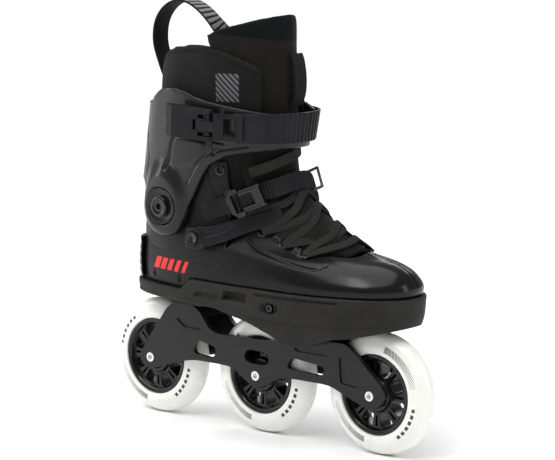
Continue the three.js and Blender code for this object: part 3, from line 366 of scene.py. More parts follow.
LINER = [
    (120, -122, 27, 42, -45, 2, 2.2), (180, -119, 34, 46, -38, 2.1, 2.2),
    (225, -113, 31, 46.5, -36, 2.1, 2.2), (255, -104, 28, 44, -36, 2.1, 2.2),
]


def middle_line(x):
    """The toe bends inwards, as a foot does."""
    return 7 * smoothstep(40, 160, x)


def section(sections, heights):
    """The section's sizes at each height, smooth between the rows."""
    rows = np.array(sections, float)
    levels = rows[:, 0]
    slopes = np.gradient(rows, levels, axis=0)
    heights = np.clip(heights, levels[0], levels[-1])
    i = np.clip(np.searchsorted(levels, heights, side="right") - 1, 0, len(levels) - 2)
    span = (levels[i + 1] - levels[i])[..., None]
    t = ((heights - levels[i])[..., None]) / span
    return ((2 * t ** 3 - 3 * t ** 2 + 1) * rows[i] + (t ** 3 - 2 * t ** 2 + t) * span * slopes[i]
            + (-2 * t ** 3 + 3 * t ** 2) * rows[i + 1] + (t ** 3 - t ** 2) * span * slopes[i + 1])


def skin(sections, heights, degrees, grow=0.0):
    """Points on a section, at angles from the toe direction, positive on the inner side."""
    heights, degrees, grow = np.broadcast_arrays(*(np.asarray(v, float) for v in (heights, degrees, grow)))
    sizes = section(sections, heights)
    back, front, half, widest, front_power, back_power = (sizes[..., k] for k in range(1, 7))
    c, d = np.cos(np.radians(degrees)), np.sin(np.radians(degrees))
    power = 2 / np.where(c > 0, front_power, back_power)
    reach = np.where(c > 0, front - widest, widest - back) + grow
    x = widest + reach * np.sign(c) * np.abs(c) ** power
    y = middle_line(x) + (half + grow) * np.sign(d) * np.abs(d) ** power
    return np.stack([x, y, heights + SEAT], -1)


def body(name, sections, low, high, grow=0.0, drop=0.0, sides=144, step=2.0):
    """The solid inside a set of sections between two heights above the seat, let down by a drop."""
    heights = np.linspace(low, high, max(3, int((high - low) / step) + 1))
    degrees = np.arange(sides) * 360 / sides
    rings = skin(sections, heights[:, None], degrees[None, :], grow)
    rings[..., 2] = heights[:, None] + SEAT - drop
    return loft(name, rings)


def skin_frames(sections, route, grow, steps=6):
    """Points, directions along, out of and across a strap that lies on a skin."""
    route = curve_through(route, steps)
    degrees, heights = route.T
    points = skin(sections, heights, degrees, grow)
    along = unit(np.gradient(points, axis=0))
    around = skin(sections, heights, degrees + 2, grow) - skin(sections, heights, degrees - 2, grow)
    upwards = skin(sections, heights + 2, degrees, grow) - skin(sections, heights - 2, degrees, grow)
    out = np.cross(around, upwards)
    out = unit(out - along * np.sum(out * along, 1)[:, None])
    return points, along, out, np.cross(out, along)


def band_section(width, thickness, round_off):
    """The outline of a band, as (across, out) points with rounded long edges."""
    half = width / 2
    return rounded([(-half, 0), (half, 0), (half, thickness), (-half, thickness)], round_off, 4)


def band(name, frames, widths, thicknesses, round_off=0.8):
    """A strap with a rounded section, that follows frames."""
    points, _, out, across = frames
    widths = np.broadcast_to(widths, len(points))
    thicknesses = np.broadcast_to(thicknesses, len(points))
    rings = []
    for i, point in enumerate(points):
        shape = band_section(widths[i], thicknesses[i], round_off)
        rings.append(point + shape[:, :1] * across[i] + shape[:, 1:] * out[i])
    obj = loft(name, rings)
    add_band_uv(obj, len(rings), len(rings[0]), points)
    return shade(obj, 50)


def add_band_uv(obj, rows, columns, points):
    """UV along the band in metres and around its section."""
    lengths = travelled(points) * MM
    uv = obj.data.uv_layers.new(name="along")
    index = np.empty(len(obj.data.loops), int)
    obj.data.loops.foreach_get("vertex_index", index)
    values = np.stack([lengths[index // columns], (index % columns) / columns], 1)
    uv.data.foreach_set("uv", values.ravel())


def placed(obj, body_name, look, *nodes, slot=None):
    """Gives a piece its body, look and the CAD nodes it replaces; the slot argument is not used."""
    obj.data.materials.clear()
    obj.data.materials.append(MATERIALS[look])
    if body_name:
        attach(obj, body_name)
    if nodes:
        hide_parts(*nodes)
    return obj


# ---- Materials ----

class Surface:
    """A procedural material, built around one Principled shader."""

    def __init__(self, name, color, roughness, **constants):
        self.name = name
        self.material = bpy.data.materials.new(name)
        self.material.use_nodes = True
        self.tree = self.material.node_tree
        self.shader = self.tree.nodes["Principled BSDF"]
        self.color, self.roughness = color, roughness
        self.put(self.shader, "Base Color", (*color, 1))
        self.put(self.shader, "Roughness", roughness)
        for socket, value in constants.items():
            self.put(self.shader, socket.replace("_", " "), value)
        coordinates_node = self.tree.nodes.new("ShaderNodeTexCoord")
        self.place = coordinates_node.outputs["Object"]

    def put(self, node, socket, value):
        target = node.inputs[socket]
        if isinstance(value, bpy.types.NodeSocket):
            self.tree.links.new(value, target)
        else:
            target.default_value = value

    def node(self, kind, settings=None, **inputs):
        node = self.tree.nodes.new(kind)
        for key, value in (settings or {}).items():
            setattr(node, key, value)
        for socket, value in inputs.items():
            self.put(node, int(socket[1:]) if socket[0] == "i" and socket[1:].isdigit() else socket, value)
        return node

    def math(self, operation, a, b=0.0, c=0.0):
        return self.node("ShaderNodeMath", {"operation": operation}, i0=a, i1=b, i2=c).outputs[0]

    def times(self, first, *others):
        for other in others:
            first = self.math("MULTIPLY", first, other)
        return first

    def between(self, value, low, high):
        return self.times(self.math("GREATER_THAN", value, low), self.math("LESS_THAN", value, high))

    def stripes(self, value, share):
        """1 over the first share of each unit of a value, and 0 over the rest."""
        return self.math("LESS_THAN", self.math("FRACT", value), share)

    def wave(self, value, turn):
        return self.math("SINE", self.times(value, turn))

    def stretch(self, value, low, high, to_low, to_high):
        node = self.node("ShaderNodeMapRange")
        for socket, part in (("Value", value), ("From Min", low), ("From Max", high),
                             ("To Min", to_low), ("To Max", to_high)):
            self.put(node, socket, part)
        return node.outputs["Result"]

    def noise(self, scale, detail=3.0, roughness=0.5, vector=None):
        return self.node("ShaderNodeTexNoise", None, Vector=vector or self.place, Scale=scale,
                         Detail=detail, Roughness=roughness).outputs["Fac"]

    def cells(self, scale, feature="F1", vector=None):
        return self.node("ShaderNodeTexVoronoi", {"feature": feature}, Vector=vector or self.place,
                         Scale=scale).outputs["Distance"]

    def mix(self, factor, a, b):
        node = self.tree.nodes.new("ShaderNodeMix")
        node.data_type = "RGBA"
        self.put(node, 0, factor)
        self.put(node, 6, a if isinstance(a, bpy.types.NodeSocket) else (*a, 1))
        self.put(node, 7, b if isinstance(b, bpy.types.NodeSocket) else (*b, 1))
        return node.outputs[2]

    def axes(self, vector=None):
        node = self.node("ShaderNodeSeparateXYZ", None, Vector=vector or self.place)
        return node.outputs[0], node.outputs[1], node.outputs[2]

    def uv(self):
        return self.tree.nodes.new("ShaderNodeTexCoord").outputs["UV"]

    def bump(self, height, strength, distance_mm):
        node = self.node("ShaderNodeBump", None, Strength=strength, Distance=distance_mm * MM, Height=height)
        if self.shader.inputs["Normal"].is_linked:
            self.put(node, "Normal", self.shader.inputs["Normal"].links[0].from_socket)
        self.put(self.shader, "Normal", node.outputs[0])

    def tint(self, factor, other):
        """Mixes another colour over the present one."""
        socket = self.shader.inputs["Base Color"]
        base = socket.links[0].from_socket if socket.is_linked else self.color
        self.put(self.shader, "Base Color", self.mix(factor, base, other))

    def vary_roughness(self, factor, low, high):
        self.put(self.shader, "Roughness", self.stretch(factor, 0.3, 0.7, low, high))

    def wear(self, amount, color):
        """Lighter rubbed edges."""
        edge = self.tree.nodes.new("ShaderNodeNewGeometry").outputs["Pointiness"]
        worn = self.stretch(edge, 0.52, 0.6, 0.0, amount)
        self.tint(self.times(worn, self.stretch(self.noise(90.0), 0.4, 0.7, 0.2, 1.0)), color)


def moulded(name, color, roughness, grain=0.25, grain_mm=0.9, gloss=0.0, worn=0.25):
    """Moulded plastic with a fine leathery grain, faint mottling and rubbed edges."""
    s = Surface(name, color, roughness, Coat_Weight=gloss, Coat_Roughness=0.12,
                Specular_IOR_Level=0.13 + 0.4 * gloss)
    lighter = tuple(min(1, c * 1.5 + 0.002) for c in color)
    s.tint(s.stretch(s.noise(35.0, 4.0), 0.35, 0.75, 0.0, 0.6), lighter)
    s.vary_roughness(s.noise(60.0, 5.0), roughness - 0.06, roughness + 0.08)
    s.wear(worn, tuple(min(1, c * 3 + 0.02) for c in color))
    if grain:
        pebbles = s.cells(1000.0 / grain_mm, "SMOOTH_F1")
        s.bump(pebbles, grain, 0.12)
    s.bump(s.noise(420.0, 3.0), 0.06, 0.15)
    return s


def woven(name, color, light, pitch_mm=0.8, strength=0.5, fuzz=0.05):
    """Woven or brushed cloth: crossed threads, fluff and a soft sheen."""
    s = Surface(name, color, 0.92, Sheen_Weight=fuzz, Sheen_Roughness=0.45, Specular_IOR_Level=0.1)
    x, y, z = s.axes()
    turn = 2 * math.pi / (pitch_mm * MM)
    warp = s.wave(s.math("ADD", x, y), turn)
    weft = s.wave(s.math("ADD", z, s.times(y, 0.5)), turn)
    threads = s.times(warp, weft)
    s.tint(s.stretch(threads, -1, 1, 0.0, 0.5), light)
    s.tint(s.stretch(s.noise(30.0, 4.0), 0.45, 0.8, 0.0, 0.35), light)
    s.bump(threads, strength, 0.25)
    s.bump(s.noise(900.0, 4.0), 0.4, 0.2)
    s.vary_roughness(s.noise(50.0), 0.85, 0.97)
    return s


def metal(name, color, roughness, brushed=0.25, metallic=1.0, scale=500.0, shine=0.5):
    s = Surface(name, color, roughness, Metallic=metallic, Specular_IOR_Level=shine)
    darker = tuple(c * 0.7 for c in color)
    s.tint(s.stretch(s.noise(70.0, 5.0), 0.45, 0.75, 0.0, 0.5), darker)
    s.vary_roughness(s.noise(120.0, 4.0), roughness - 0.08, roughness + 0.1)
    s.bump(s.noise(scale, 3.0), brushed, 0.06)
    return s


PICK_PITCH = 1.6 * MM
OUTER_WALL_Y = -0.02


def webbing(name, color, light, across=24, dashes=False):
    """Band webbing: ribs along its length, picks across them and, if asked for, woven dark dashes."""
    s = Surface(name, color, 0.88, Sheen_Weight=0.05, Sheen_Roughness=0.4, Specular_IOR_Level=0.15)
    along, around, _ = s.axes(s.uv())
    ribs = s.wave(around, 2 * math.pi * across)
    picks = s.math("SINE", s.math("ADD", s.times(along, 2 * math.pi / PICK_PITCH), s.times(ribs, 1.5)))
    s.tint(s.stretch(picks, -1, 1, 0.0, 0.6), light)
    if dashes:
        slant = s.math("ADD", s.times(along, 180.0), s.times(around, 3.0))
        s.tint(s.stripes(slant, 0.4), (0.006, 0.006, 0.006))
    s.bump(s.math("ADD", ribs, picks), 0.6, 0.18)
    s.vary_roughness(s.noise(80.0), 0.8, 0.95)
    return s


def urethane(name):
    """Cast urethane: milky, smooth, with a hatched and dashed print on both walls."""
    s = Surface(name, (0.86, 0.86, 0.82), 0.28, Coat_Weight=0.4, Coat_Roughness=0.1,
                Subsurface_Weight=0.15, Subsurface_Scale=0.004)
    turn, radius, _ = s.axes(s.uv())
    s.tint(s.stretch(s.noise(25.0, 3.0), 0.4, 0.7, 0.0, 0.5), (0.80, 0.80, 0.74))
    s.vary_roughness(s.noise(90.0, 4.0), 0.22, 0.36)
    place = s.math("FRACT", s.times(turn, 2.0))
    slant = s.math("ADD", s.times(turn, 150.0), s.times(radius, 420.0))
    fade = s.stretch(place, 0.08, 0.42, 0.75, 0.15)
    hatch = s.times(s.between(radius, 0.0402, 0.0458), s.between(place, 0.08, 0.42), s.stripes(slant, fade))
    dashes = s.times(s.between(place, 0.55, 0.8), s.between(radius, 0.0415, 0.0445),
                     s.stripes(s.times(turn, 44.0), 0.62))
    s.tint(s.math("MAXIMUM", hatch, dashes), (0.02, 0.02, 0.02))
    s.bump(s.noise(300.0, 3.0), 0.05, 0.1)
    return s


def shell_material():
    """The shell's plastic, glossy at the toe, with red slanted bars low on the outer side."""
    s = moulded("shell_plastic", (0.004, 0.004, 0.004), 0.42, grain=0.45, grain_mm=0.9, gloss=0.05)
    x, y, z = s.axes()
    toe = s.stretch(x, 0.02, 0.10, 0.0, 1.0)
    patchy_toe = s.math("ADD", toe, s.noise(60.0, 5.0))
    s.put(s.shader, "Roughness", s.stretch(patchy_toe, 0.4, 1.5, 0.44, 0.2))
    s.put(s.shader, "Coat Weight", s.stretch(toe, 0.0, 1.0, 0.02, 0.16))
    low, high = (SEAT + 26) * MM, (SEAT + 37) * MM
    start, pitch, bars = -110 * MM, 10.5 * MM, 5
    slope = s.times(s.math("SUBTRACT", z, low), 0.55)
    count = s.math("DIVIDE", s.math("SUBTRACT", s.math("SUBTRACT", x, start), slope), pitch)
    bar = s.stripes(count, s.math("SUBTRACT", 0.84, s.times(count, 0.09)))
    outer = s.math("LESS_THAN", y, OUTER_WALL_Y)
    mark = s.times(s.between(z, low, high), outer, s.between(count, 0.0, float(bars)), bar)
    s.tint(mark, (0.75, 0.03, 0.03))
    return s


def liner_material():
    """Liner cloth, with a grey striped patch high on the outer side."""
    s = woven("liner_cloth", (0.006, 0.006, 0.006), (0.022, 0.021, 0.020), 1.1, 0.55)
    x, y, z = s.axes()
    outer = s.math("LESS_THAN", y, OUTER_WALL_Y)
    patch = s.times(outer, s.between(x, -0.022, 0.0), s.between(z, 0.306, 0.331))
    stripes = s.stripes(s.times(s.math("ADD", x, z), 190.0), 0.6)
    s.tint(s.times(patch, stripes, 0.8), (0.16, 0.16, 0.17))
    return s


def tongue_material():
    """Tongue cloth, with a darker fleece rolled over its top edge."""
    s = woven("tongue_cloth", (0.007, 0.0065, 0.006), (0.024, 0.022, 0.020), 0.9, 0.4)
    x, _, z = s.axes()
    fleece = s.stretch(s.math("ADD", z, s.times(x, 0.12)), 0.3625, 0.3632, 0.0, 1.0)
    s.tint(fleece, (0.004, 0.006, 0.006))
    s.bump(s.times(fleece, s.noise(1500.0, 4.0)), 0.8, 0.6)
    return s


MATERIALS = {surface.name: surface.material for surface in (
    urethane("urethane"),
    moulded("core_plastic", (0.004, 0.004, 0.0045), 0.26, grain=0.0, gloss=0.25, worn=0.15),
    metal("steel", (0.55, 0.56, 0.58), 0.32),
    metal("dark_steel", (0.10, 0.10, 0.11), 0.4),
    metal("zinc", (0.72, 0.76, 0.78), 0.3),
    metal("frame_metal", (0.011, 0.011, 0.0125), 0.36, 0.4, 0.1, 1500.0, 0.3),
    moulded("sole_plastic", (0.017, 0.0165, 0.015), 0.6, grain=0.3, grain_mm=0.7),
    shell_material(),
    moulded("cuff_plastic", (0.007, 0.007, 0.0072), 0.33, grain=0.15, grain_mm=0.5, gloss=0.2),
    moulded("strap_plastic", (0.010, 0.010, 0.0115), 0.42, grain=0.2, grain_mm=0.6),
    moulded("gloss_plastic", (0.003, 0.003, 0.003), 0.14, grain=0.0, gloss=0.3, worn=0.15),
    liner_material(),
    tongue_material(),
    webbing("webbing", (0.005, 0.005, 0.005), (0.020, 0.020, 0.020)),
    webbing("webbing_outside", (0.16, 0.16, 0.165), (0.30, 0.30, 0.31), dashes=True),
    # The lace's bright picks are its weave pattern and also painted highlights on the threads.
    webbing("lace", (0.006, 0.006, 0.006), (0.050, 0.050, 0.048), 10),
)}


# ---- Wheels ----

TREAD_CENTRE, TREAD_RADIUS = 44.5, 10.5
SPOKES = 8
BEARING_PROFILES = {
    "race": [(9.0, 0.3), (10.9, 0.3), (10.9, 6.7), (9.0, 6.7)],
    "hub": [(4.05, 0.3), (5.9, 0.3), (5.9, 6.7), (4.05, 6.7)],
    "shield": [(6.1, 5.7), (7.2, 6.2), (8.2, 6.2), (8.95, 5.8), (8.95, 5.2), (6.1, 5.2)],
}
BEARING_FACE = 4.75


def tyre_mesh():
    """A round tread between two walls, with UV in turns around the axle and metres away from it."""
    arc = [(TREAD_CENTRE + TREAD_RADIUS * math.cos(a), TREAD_RADIUS * math.sin(a))
           for a in np.radians(np.arange(-78, 79, 6))]
    wall = [(36.4, -11.5), (36.9, -11.9), (38.5, -12.0), (41.5, -11.95), (TREAD_CENTRE, -11.4)]
    obj = lathe("tyre", wall + arc + [(r, -y) for r, y in reversed(wall)], 120)
    uv = obj.data.uv_layers.new(name="wheel")
    places, _ = coordinates(obj)
    for polygon in obj.data.polygons:
        corners = [places[v] for v in polygon.vertices]
        turns = [math.atan2(c[0], c[2]) / (2 * math.pi) % 1 for c in corners]
        if max(turns) - min(turns) > 0.5:
            turns = [t + 1 if t < 0.5 else t for t in turns]
        for loop, turn, corner in zip(polygon.loop_indices, turns, corners):
            uv.data[loop].uv = (turn, math.hypot(corner[0], corner[2]) * MM)
    return shade(obj)


def ray(radius, angle):
    return radius * math.sin(angle), radius * math.cos(angle)


def sector(low, high, middle, spread, steps=5):
    """The outline of a window between two radii, with its corners rounded."""
    outer = [ray(high, a) for a in np.linspace(middle - spread, middle + spread, steps)]
    inner = [ray(low, a) for a in np.linspace(middle + spread, middle - spread, 3)]
    return rounded(outer + inner, 1.6, 3)


def core_mesh():
    """The hub and rim, with a web between them that has a window and a thin slot for each spoke."""
    half = [(9.4, 4.9), (11.4, 4.9), (11.4, 11.0), (12.0, 11.7), (14.6, 11.7), (15.2, 11.1), (16.4, 7.9),
            (30.2, 7.5), (31.4, 9.4), (32.4, 11.3), (33.2, 11.7), (35.4, 11.7), (35.9, 11.2)]
    obj = lathe("core", [(r, -y) for r, y in reversed(half)] + half, 96)
    turn = 2 * math.pi / SPOKES
    cutters = []
    for i in range(SPOKES):
        cutters.append(prism("window", sector(17.6, 29.8, (i + 0.5) * turn, 0.235), -13, 13))
        cutters.append(prism("slot", sector(18.6, 28.6, i * turn, 0.042, 3), -13, 13))
    return finished(cut(obj, *cutters), 0.45)


def axle_mesh():
    """The axle bolt, with a star socket in its rounded head on the outer side."""
    profile = [(0.01, -17.6), (0.01, 18), (3.2, 18), (3.6, 17.6), (3.6, -16.3), (4.75, -16.3), (4.8, -18.4),
               (4.4, -19.1), (2.9, -19.3), (2.6, -19.2), (2.5, -17.6)]
    star = [ray(2.0 + 0.35 * math.cos(6 * a), a) for a in np.linspace(0, 2 * math.pi, 48, endpoint=False)]
    return shade(cut(lathe("axle", profile, 48), prism("socket", star, -17.7, -16.6)), 35)


def wheel_piece(source, name, centre, body_name, look, *nodes, slot=None, turn=Matrix.Identity(4)):
    obj = linked(name, source.data.copy())
    obj.matrix_world = Matrix.Translation(centre) @ turn
    placed(obj, body_name, look, *nodes, slot=slot)


def wheel_parts():
    meshes = {"tyre": tyre_mesh(), "core": core_mesh(), "axle": axle_mesh()}
    for part, profile in BEARING_PROFILES.items():
        meshes[part] = shade(lathe(part, profile), 40)
    for place in PLACES:
        low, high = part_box(f"tyre_{place}")
        centre = Vector(((low.x + high.x) / 2, 0, AXLE_Z * MM))
        wheel = f"wheel_{place}"
        for part, on, look in (("tyre", wheel, "urethane"), ("core", wheel, "core_plastic"),
                               ("axle", "boot", "zinc")):
            wheel_piece(meshes[part], f"{part}_{place}_fine", centre, on, look, f"{part}_{place}")
        for side, name in SIDES:
            bearing = centre + Vector((0, side * BEARING_FACE * MM, 0))
            turn = Matrix.Rotation(math.pi, 4, "Z") if side == OUTER else Matrix.Identity(4)
            for part, on, look, nodes in (("race", wheel, "steel", [f"bearing_ring_{name}_{place}"]),
                                          ("shield", wheel, "dark_steel", []),
                                          ("hub", "boot", "steel", [f"bearing_hub_{name}_{place}"])):
                wheel_piece(meshes[part], f"bearing_{part}_{name}_{place}_fine", bearing, on, look, *nodes,
                            slot="steel", turn=turn)
    for obj in meshes.values():
        bpy.data.objects.remove(obj)


wheel_parts()


# ---- Frame ----

# Outlines are drawn with the axles DRAWN_GAP apart, and frame_line brings them to the real gap.
DRAWN_GAP = 130
FRAME_OUTLINE = [
    (-104, 111), (-124, 84), (-144, 56), (-141, 48), (-130, 43.5), (-112, 49.5), (-90, 56.5),
    (-74, 60), (-36, 60), (-26.5, 59), (-11, 49), (0, 43.5), (12, 47), (21, 53), (30, 57),
    (43, 58.5), (86, 58.5), (99, 53.5), (114, 48), (127, 43.5), (134, 43.5), (141, 47), (147, 54),
    (147.5, 59), (142.5, 66), (117, 88), (107, 96), (100, 98.5), (80, 97), (62, 94), (32, 94.5),
    (22, 90), (-8, 88.5), (-44, 88), (-54, 90.5), (-60, 96.5), (-65, 104), (-71, 109), (-80, 111.5),
]
FRAME_WINDOWS = [
    [(-76, 66), (-50, 64), (-46, 75), (-72, 80)],
    [(-14, 70), (-8, 66), (12, 66), (17, 70), (14, 78), (-10, 79)],
    [(36, 67), (78, 65), (81, 74), (42, 78)],
]
FRAME_POCKETS = [
    [(-97, 97), (-66, 94.5), (-64, 89), (-88, 89.5)],
    [(45, 90), (82, 88), (84, 84), (47, 84)],
    [(98, 62), (118, 60), (112, 80), (96, 86)],
]
FRAME_HALF = 19


def frame_line(points):
    return [(x * AXLE_GAP / DRAWN_GAP, z) for x, z in points]


def at_axles(name, radius, y0, y1, sides=48):
    return [rod(name, radius, y0, y1, x, AXLE_Z, sides) for x in AXLES_X]


def frame_piece():
    """Two walls joined by decks, with bosses around the axles and pockets on the faces."""
    decks = [[(44, 85), (88, 85), (88, 125), (44, 125)], [(-106, 101), (-60, 101), (-60, 125), (-106, 125)]]
    channel = cut(block("channel", -170, 170, -14, 14, 0, 119),
                  *(prism("deck", frame_line(deck), -15, 15) for deck in decks))
    obj = prism("frame_fine", rounded(frame_line(FRAME_OUTLINE), 9), -FRAME_HALF, FRAME_HALF)
    obj = cut(obj, channel, *at_axles("well", 57, -14, 14, 96))
    obj = join(obj, *at_axles("boss", 7.2, -14.5, -12.5), *at_axles("boss", 7.2, 12.5, 14.5))
    holes = at_axles("bore", 3.9, -20, 20) + at_axles("sink", 5.2, -20, -16)
    holes += [prism("window", rounded(frame_line(window), 6), -20, 20) for window in FRAME_WINDOWS]
    for pocket in FRAME_POCKETS:
        line = rounded(frame_line(pocket), 3)
        holes += [prism("pocket", line, -20, -17.6), prism("pocket", line, 17.6, 20)]
    return placed(finished(cut(obj, *holes), 0.7, 3), "boot", "frame_metal", "frame")


frame_piece()


# ---- Sole ----

SOLE_UNDERSIDE = [
    (-160, -1), (-35, -1), (-20, -2), (0, -6), (14, -9), (42, -19), (52, -25.5), (78, -25.5), (88, -20),
    (102, -15.5), (117, -13.5), (131, -10.5), (144, -7.5), (180, 1),
]
HEEL_STEP = [(-180, 131), (-68.5, 131), (-54, 142), (-54, 151), (-180, 151)]
SOLE_MARKS = [
    (side_recess, [(-13, 129), (15, 129), (15, 137), (-10, 137)], 6.0, 0.8),
    (side_recess, [(-50, 128), (-20, 126), (-17, 132), (-44, 132)], 2.6, 0.8),
    (side_recess, [(26, 136), (111, 136.5), (111, 139), (26, 139)], 2.4, 0.8),
    (side_recess, rounded([(33, 123), (52, 123), (52, 131), (33, 131)], 4), 3.0, 0.8),
    (side_line, [(20, 116), (58, 115), (105, 116), (131, 118), (150, 119)], 1.4, -0.9),
    (side_line, [(-146, 124), (-60, 124), (10, 121)], 1.2, -0.6),
]
SOLE_SCREW = (42, SEAT + 7)


def above_seat(points):
    return [(x, z + SEAT) for x, z in points]


def half_width(sections, height):
    return float(section(sections, np.array([height]))[0, 3])


def sole_piece():
    under = list(curve_through(above_seat(SOLE_UNDERSIDE), 4)) + [(180, 60), (-160, 60)]
    obj = cut(body("sole_fine", SOLE, -32, 22), prism("under", under, *WIDE), prism("step", HEEL_STEP, *WIDE))
    obj = join(obj, block("pad", -99.7, -61.7, -22, 22, 111.3, 122),
               block("pad", 52.7, 76.7, -FRAME_HALF, FRAME_HALF, 94.3, 110))
    frame_top = [(x, z + 0.3) for x, z in rounded(frame_line(FRAME_OUTLINE), 9)]
    obj = cut(obj, prism("frame_top", frame_top, -FRAME_HALF - 0.3, FRAME_HALF + 0.3))
    face = half_width(SOLE, 7.0) - 4.3
    screws = [rod("screw", 5, *sorted((side * face, side * (face + 15))), *SOLE_SCREW) for side, _ in SIDES]
    obj = soften(cut(obj, *screws))
    for side, _ in SIDES:
        add_marks(obj, SOLE_MARKS, side)
    return placed(obj, "boot", "sole_plastic", "sole")


sole_piece()


# ---- Shell and heel bumper ----

THROAT = [(112, 0), (108, 12), (98, 19), (70, 25), (25, 28), (2, 31), (-14, 46)]
SOLE_ROOM = [(-69.5, 119), (200, 119), (200, 142.3), (-54.6, 142.3), (-69.5, 130.5)]
HEEL_RIM = [(-160, 112), (-120, 112), (-70, 124), (-30, 133), (-30, 160), (-160, 160)]
SHELL_MARKS = [
    (side_curve, [(5, 184), (22, 176), (54, 169), (81, 164.5), (92, 168)], 1.6, -0.8),
    (side_curve, [(-37, 243), (-29, 225), (-16, 201)], 1.6, -0.8),
    (side_curve, [(-130, 168), (-95, 164), (-60, 160), (-20, 158)], 1.4, -0.5),
    (side_recess, [(50, 187), (60, 182), (64, 173), (54, 177)], -2.2, 1.6),
    (side_recess, [(26, 195), (37, 190), (41, 181), (30, 185)], -2.2, 1.6),
    (side_recess, [(-14, 241), (-1, 238), (0, 232), (-12, 233)], -2.2, 1.6),
]
DIMPLES = [(-109, 140), (-70, 140)]
RIB_PITCH = 7.5


def throat(name, grow=0.0, top=155):
    """The opening over the instep, as a solid that cuts it."""
    half = curve_through([(x - grow if i else x, y + grow if i else 0) for i, (x, y) in enumerate(THROAT)], 5)
    shift = middle_line(half[:, 0])
    inner = np.stack([half[:, 0], shift + half[:, 1]], 1)
    outer = np.stack([half[:, 0], shift - half[:, 1]], 1)[1:][::-1]
    return plan(name, np.vstack([inner, outer]), SEAT + 38, SEAT + top)


def shell_piece():
    obj = cut(body("shell_fine", SHELL, 11.3, 132), body("hollow", SHELL, 28.6, 139.6, -3.5, 2.6),
              prism("sole_room", SOLE_ROOM, *WIDE), prism("rim", above_seat(HEEL_RIM), *WIDE),
              throat("throat"), block("instep", -12, 80, *WIDE, SEAT + 102, SEAT + 145))
    obj = soften(obj)
    for side, _ in SIDES:
        add_marks(obj, SHELL_MARKS, side)
        for x, z in DIMPLES:
            places, normals = coordinates(obj)
            away = np.hypot(places[:, 0] - x, places[:, 2] - z)
            displace(obj, -1.5 * smoothstep(4, 3, away) * facing(normals, side))
    places, normals = coordinates(obj)
    seam = smoothstep(1.4, 0.4, np.abs(places[:, 1] - middle_line(places[:, 0])))
    displace(obj, -0.8 * seam * smoothstep(113, 116, places[:, 0]) * smoothstep(0.1, 0.4, normals[:, 2]))
    return placed(obj, "boot", "shell_plastic", "shell")


def bumper_piece():
    obj = cut(body("heel_bumper_fine", SHELL, 13, 52, 4.8), body("room", SHELL, 8, 57, 0.3),
              block("front", -131, 200, *WIDE, 120, 190))
    obj = soften(obj, FINE * 0.75)
    places, _ = coordinates(obj)
    displace(obj, -0.5 * smoothstep(0.2, 0.9, np.sin((places[:, 2] - 133) * 2 * math.pi / RIB_PITCH)))
    return placed(obj, "boot", "cuff_plastic", "heel_bumper")


shell_piece()
bumper_piece()


# ---- Cuff ----

ANKLE = (-84, 207)
CUFF_LOWER = [
    (-160, 109), (-124, 108), (-114, 99), (-110, 84), (-104, 72), (-95, 65), (-84, 62), (-75, 63), (-68, 67),
    (-60, 80.5), (-45, 105), (-31, 126), (-20, 133), (0, 140), (80, 150),
]
CUFF_UPPER = [
    (-160, 180), (-108, 181), (-98, 186), (-88, 192), (-76, 196), (-56, 195), (-33, 188), (6, 181), (29, 177),
    (80, 172),
]
CUFF_MARKS = [
    (side_curve, [(-122, 290), (-112, 270), (-108, 250), (-112, 236)], 1.8, -0.9),
    (side_curve, [(-54, 231), (-38, 252), (-20, 262), (10, 268)], 2.0, -1.0),
    (side_recess, rounded([(-66, 273), (-29, 271), (-29, 260), (-42, 249), (-72, 243)], 8), -2.4, 5.0),
    (side_curve, [(-66, 275), (-71, 262), (-79, 242)], 2.6, -2.4),
    (side_recess, [(-25, 271), (-9, 269), (-23, 258)], 2.6, 3.6),
]


def cuff_piece():
    below = list(curve_through(above_seat(CUFF_LOWER), 4)) + [(80, 150), (-160, 150)]
    above = list(curve_through(above_seat(CUFF_UPPER), 4)) + [(80, 350), (-160, 350)]
    obj = cut(body("cuff_fine", CUFF, 56, 198), body("hollow", CUFF, 50, 204, -3.5),
              prism("below", below, *WIDE), prism("above", above, *WIDE),
              block("gap", 0, 80, 20, 30, 170, 330))
    obj = soften(obj, FINE, 4)
    for side, _ in SIDES:
        places, normals = coordinates(obj)
        x, z = places[:, 0] - ANKLE[0], places[:, 2] - ANKLE[1]
        boss = 5.0 * smoothstep(33, 19, np.hypot(x, np.where(z > 0, z * 0.72, z)))
        washer_seat = -2.8 * smoothstep(18.2, 17.2, np.hypot(x, z))
        displace(obj, (boss + washer_seat) * facing(normals, side, 0.1))
        add_marks(obj, CUFF_MARKS, side)
    return placed(obj, "cuff", "cuff_plastic", "cuff")


def turned(name, profile, side, centre, hexagon=None, sides=72):
    """A piece turned on a side of the boot from (radius, outward) points; a hexagon makes its socket."""
    obj = lathe(name, [(radius, side * out) for radius, out in profile], sides)
    if hexagon:
        size, low, high = hexagon
        corners = [ray(size, angle) for angle in np.arange(6) * math.pi / 3]
        cut(obj, prism("socket", corners, *sorted((side * low, side * high))))
    shade(obj, 40)
    obj.matrix_world = Matrix.Translation(Vector(centre) * MM)
    return obj


WASHER_PROFILE = [(6.6, 0.05), (16.9, 0.05), (16.9, 1.4), (16.0, 2.4), (14.6, 2.5), (12.4, 1.5), (10.6, 1.3),
                  (6.6, 1.3)]
BOLT_PROFILE = [(0.01, -2.4), (5.6, -2.4), (5.6, 2.9), (9.4, 2.9), (9.4, 4.0), (8.8, 4.6), (7.6, 4.8),
                (6.9, 4.3), (4.6, 4.2), (0.01, 4.2)]


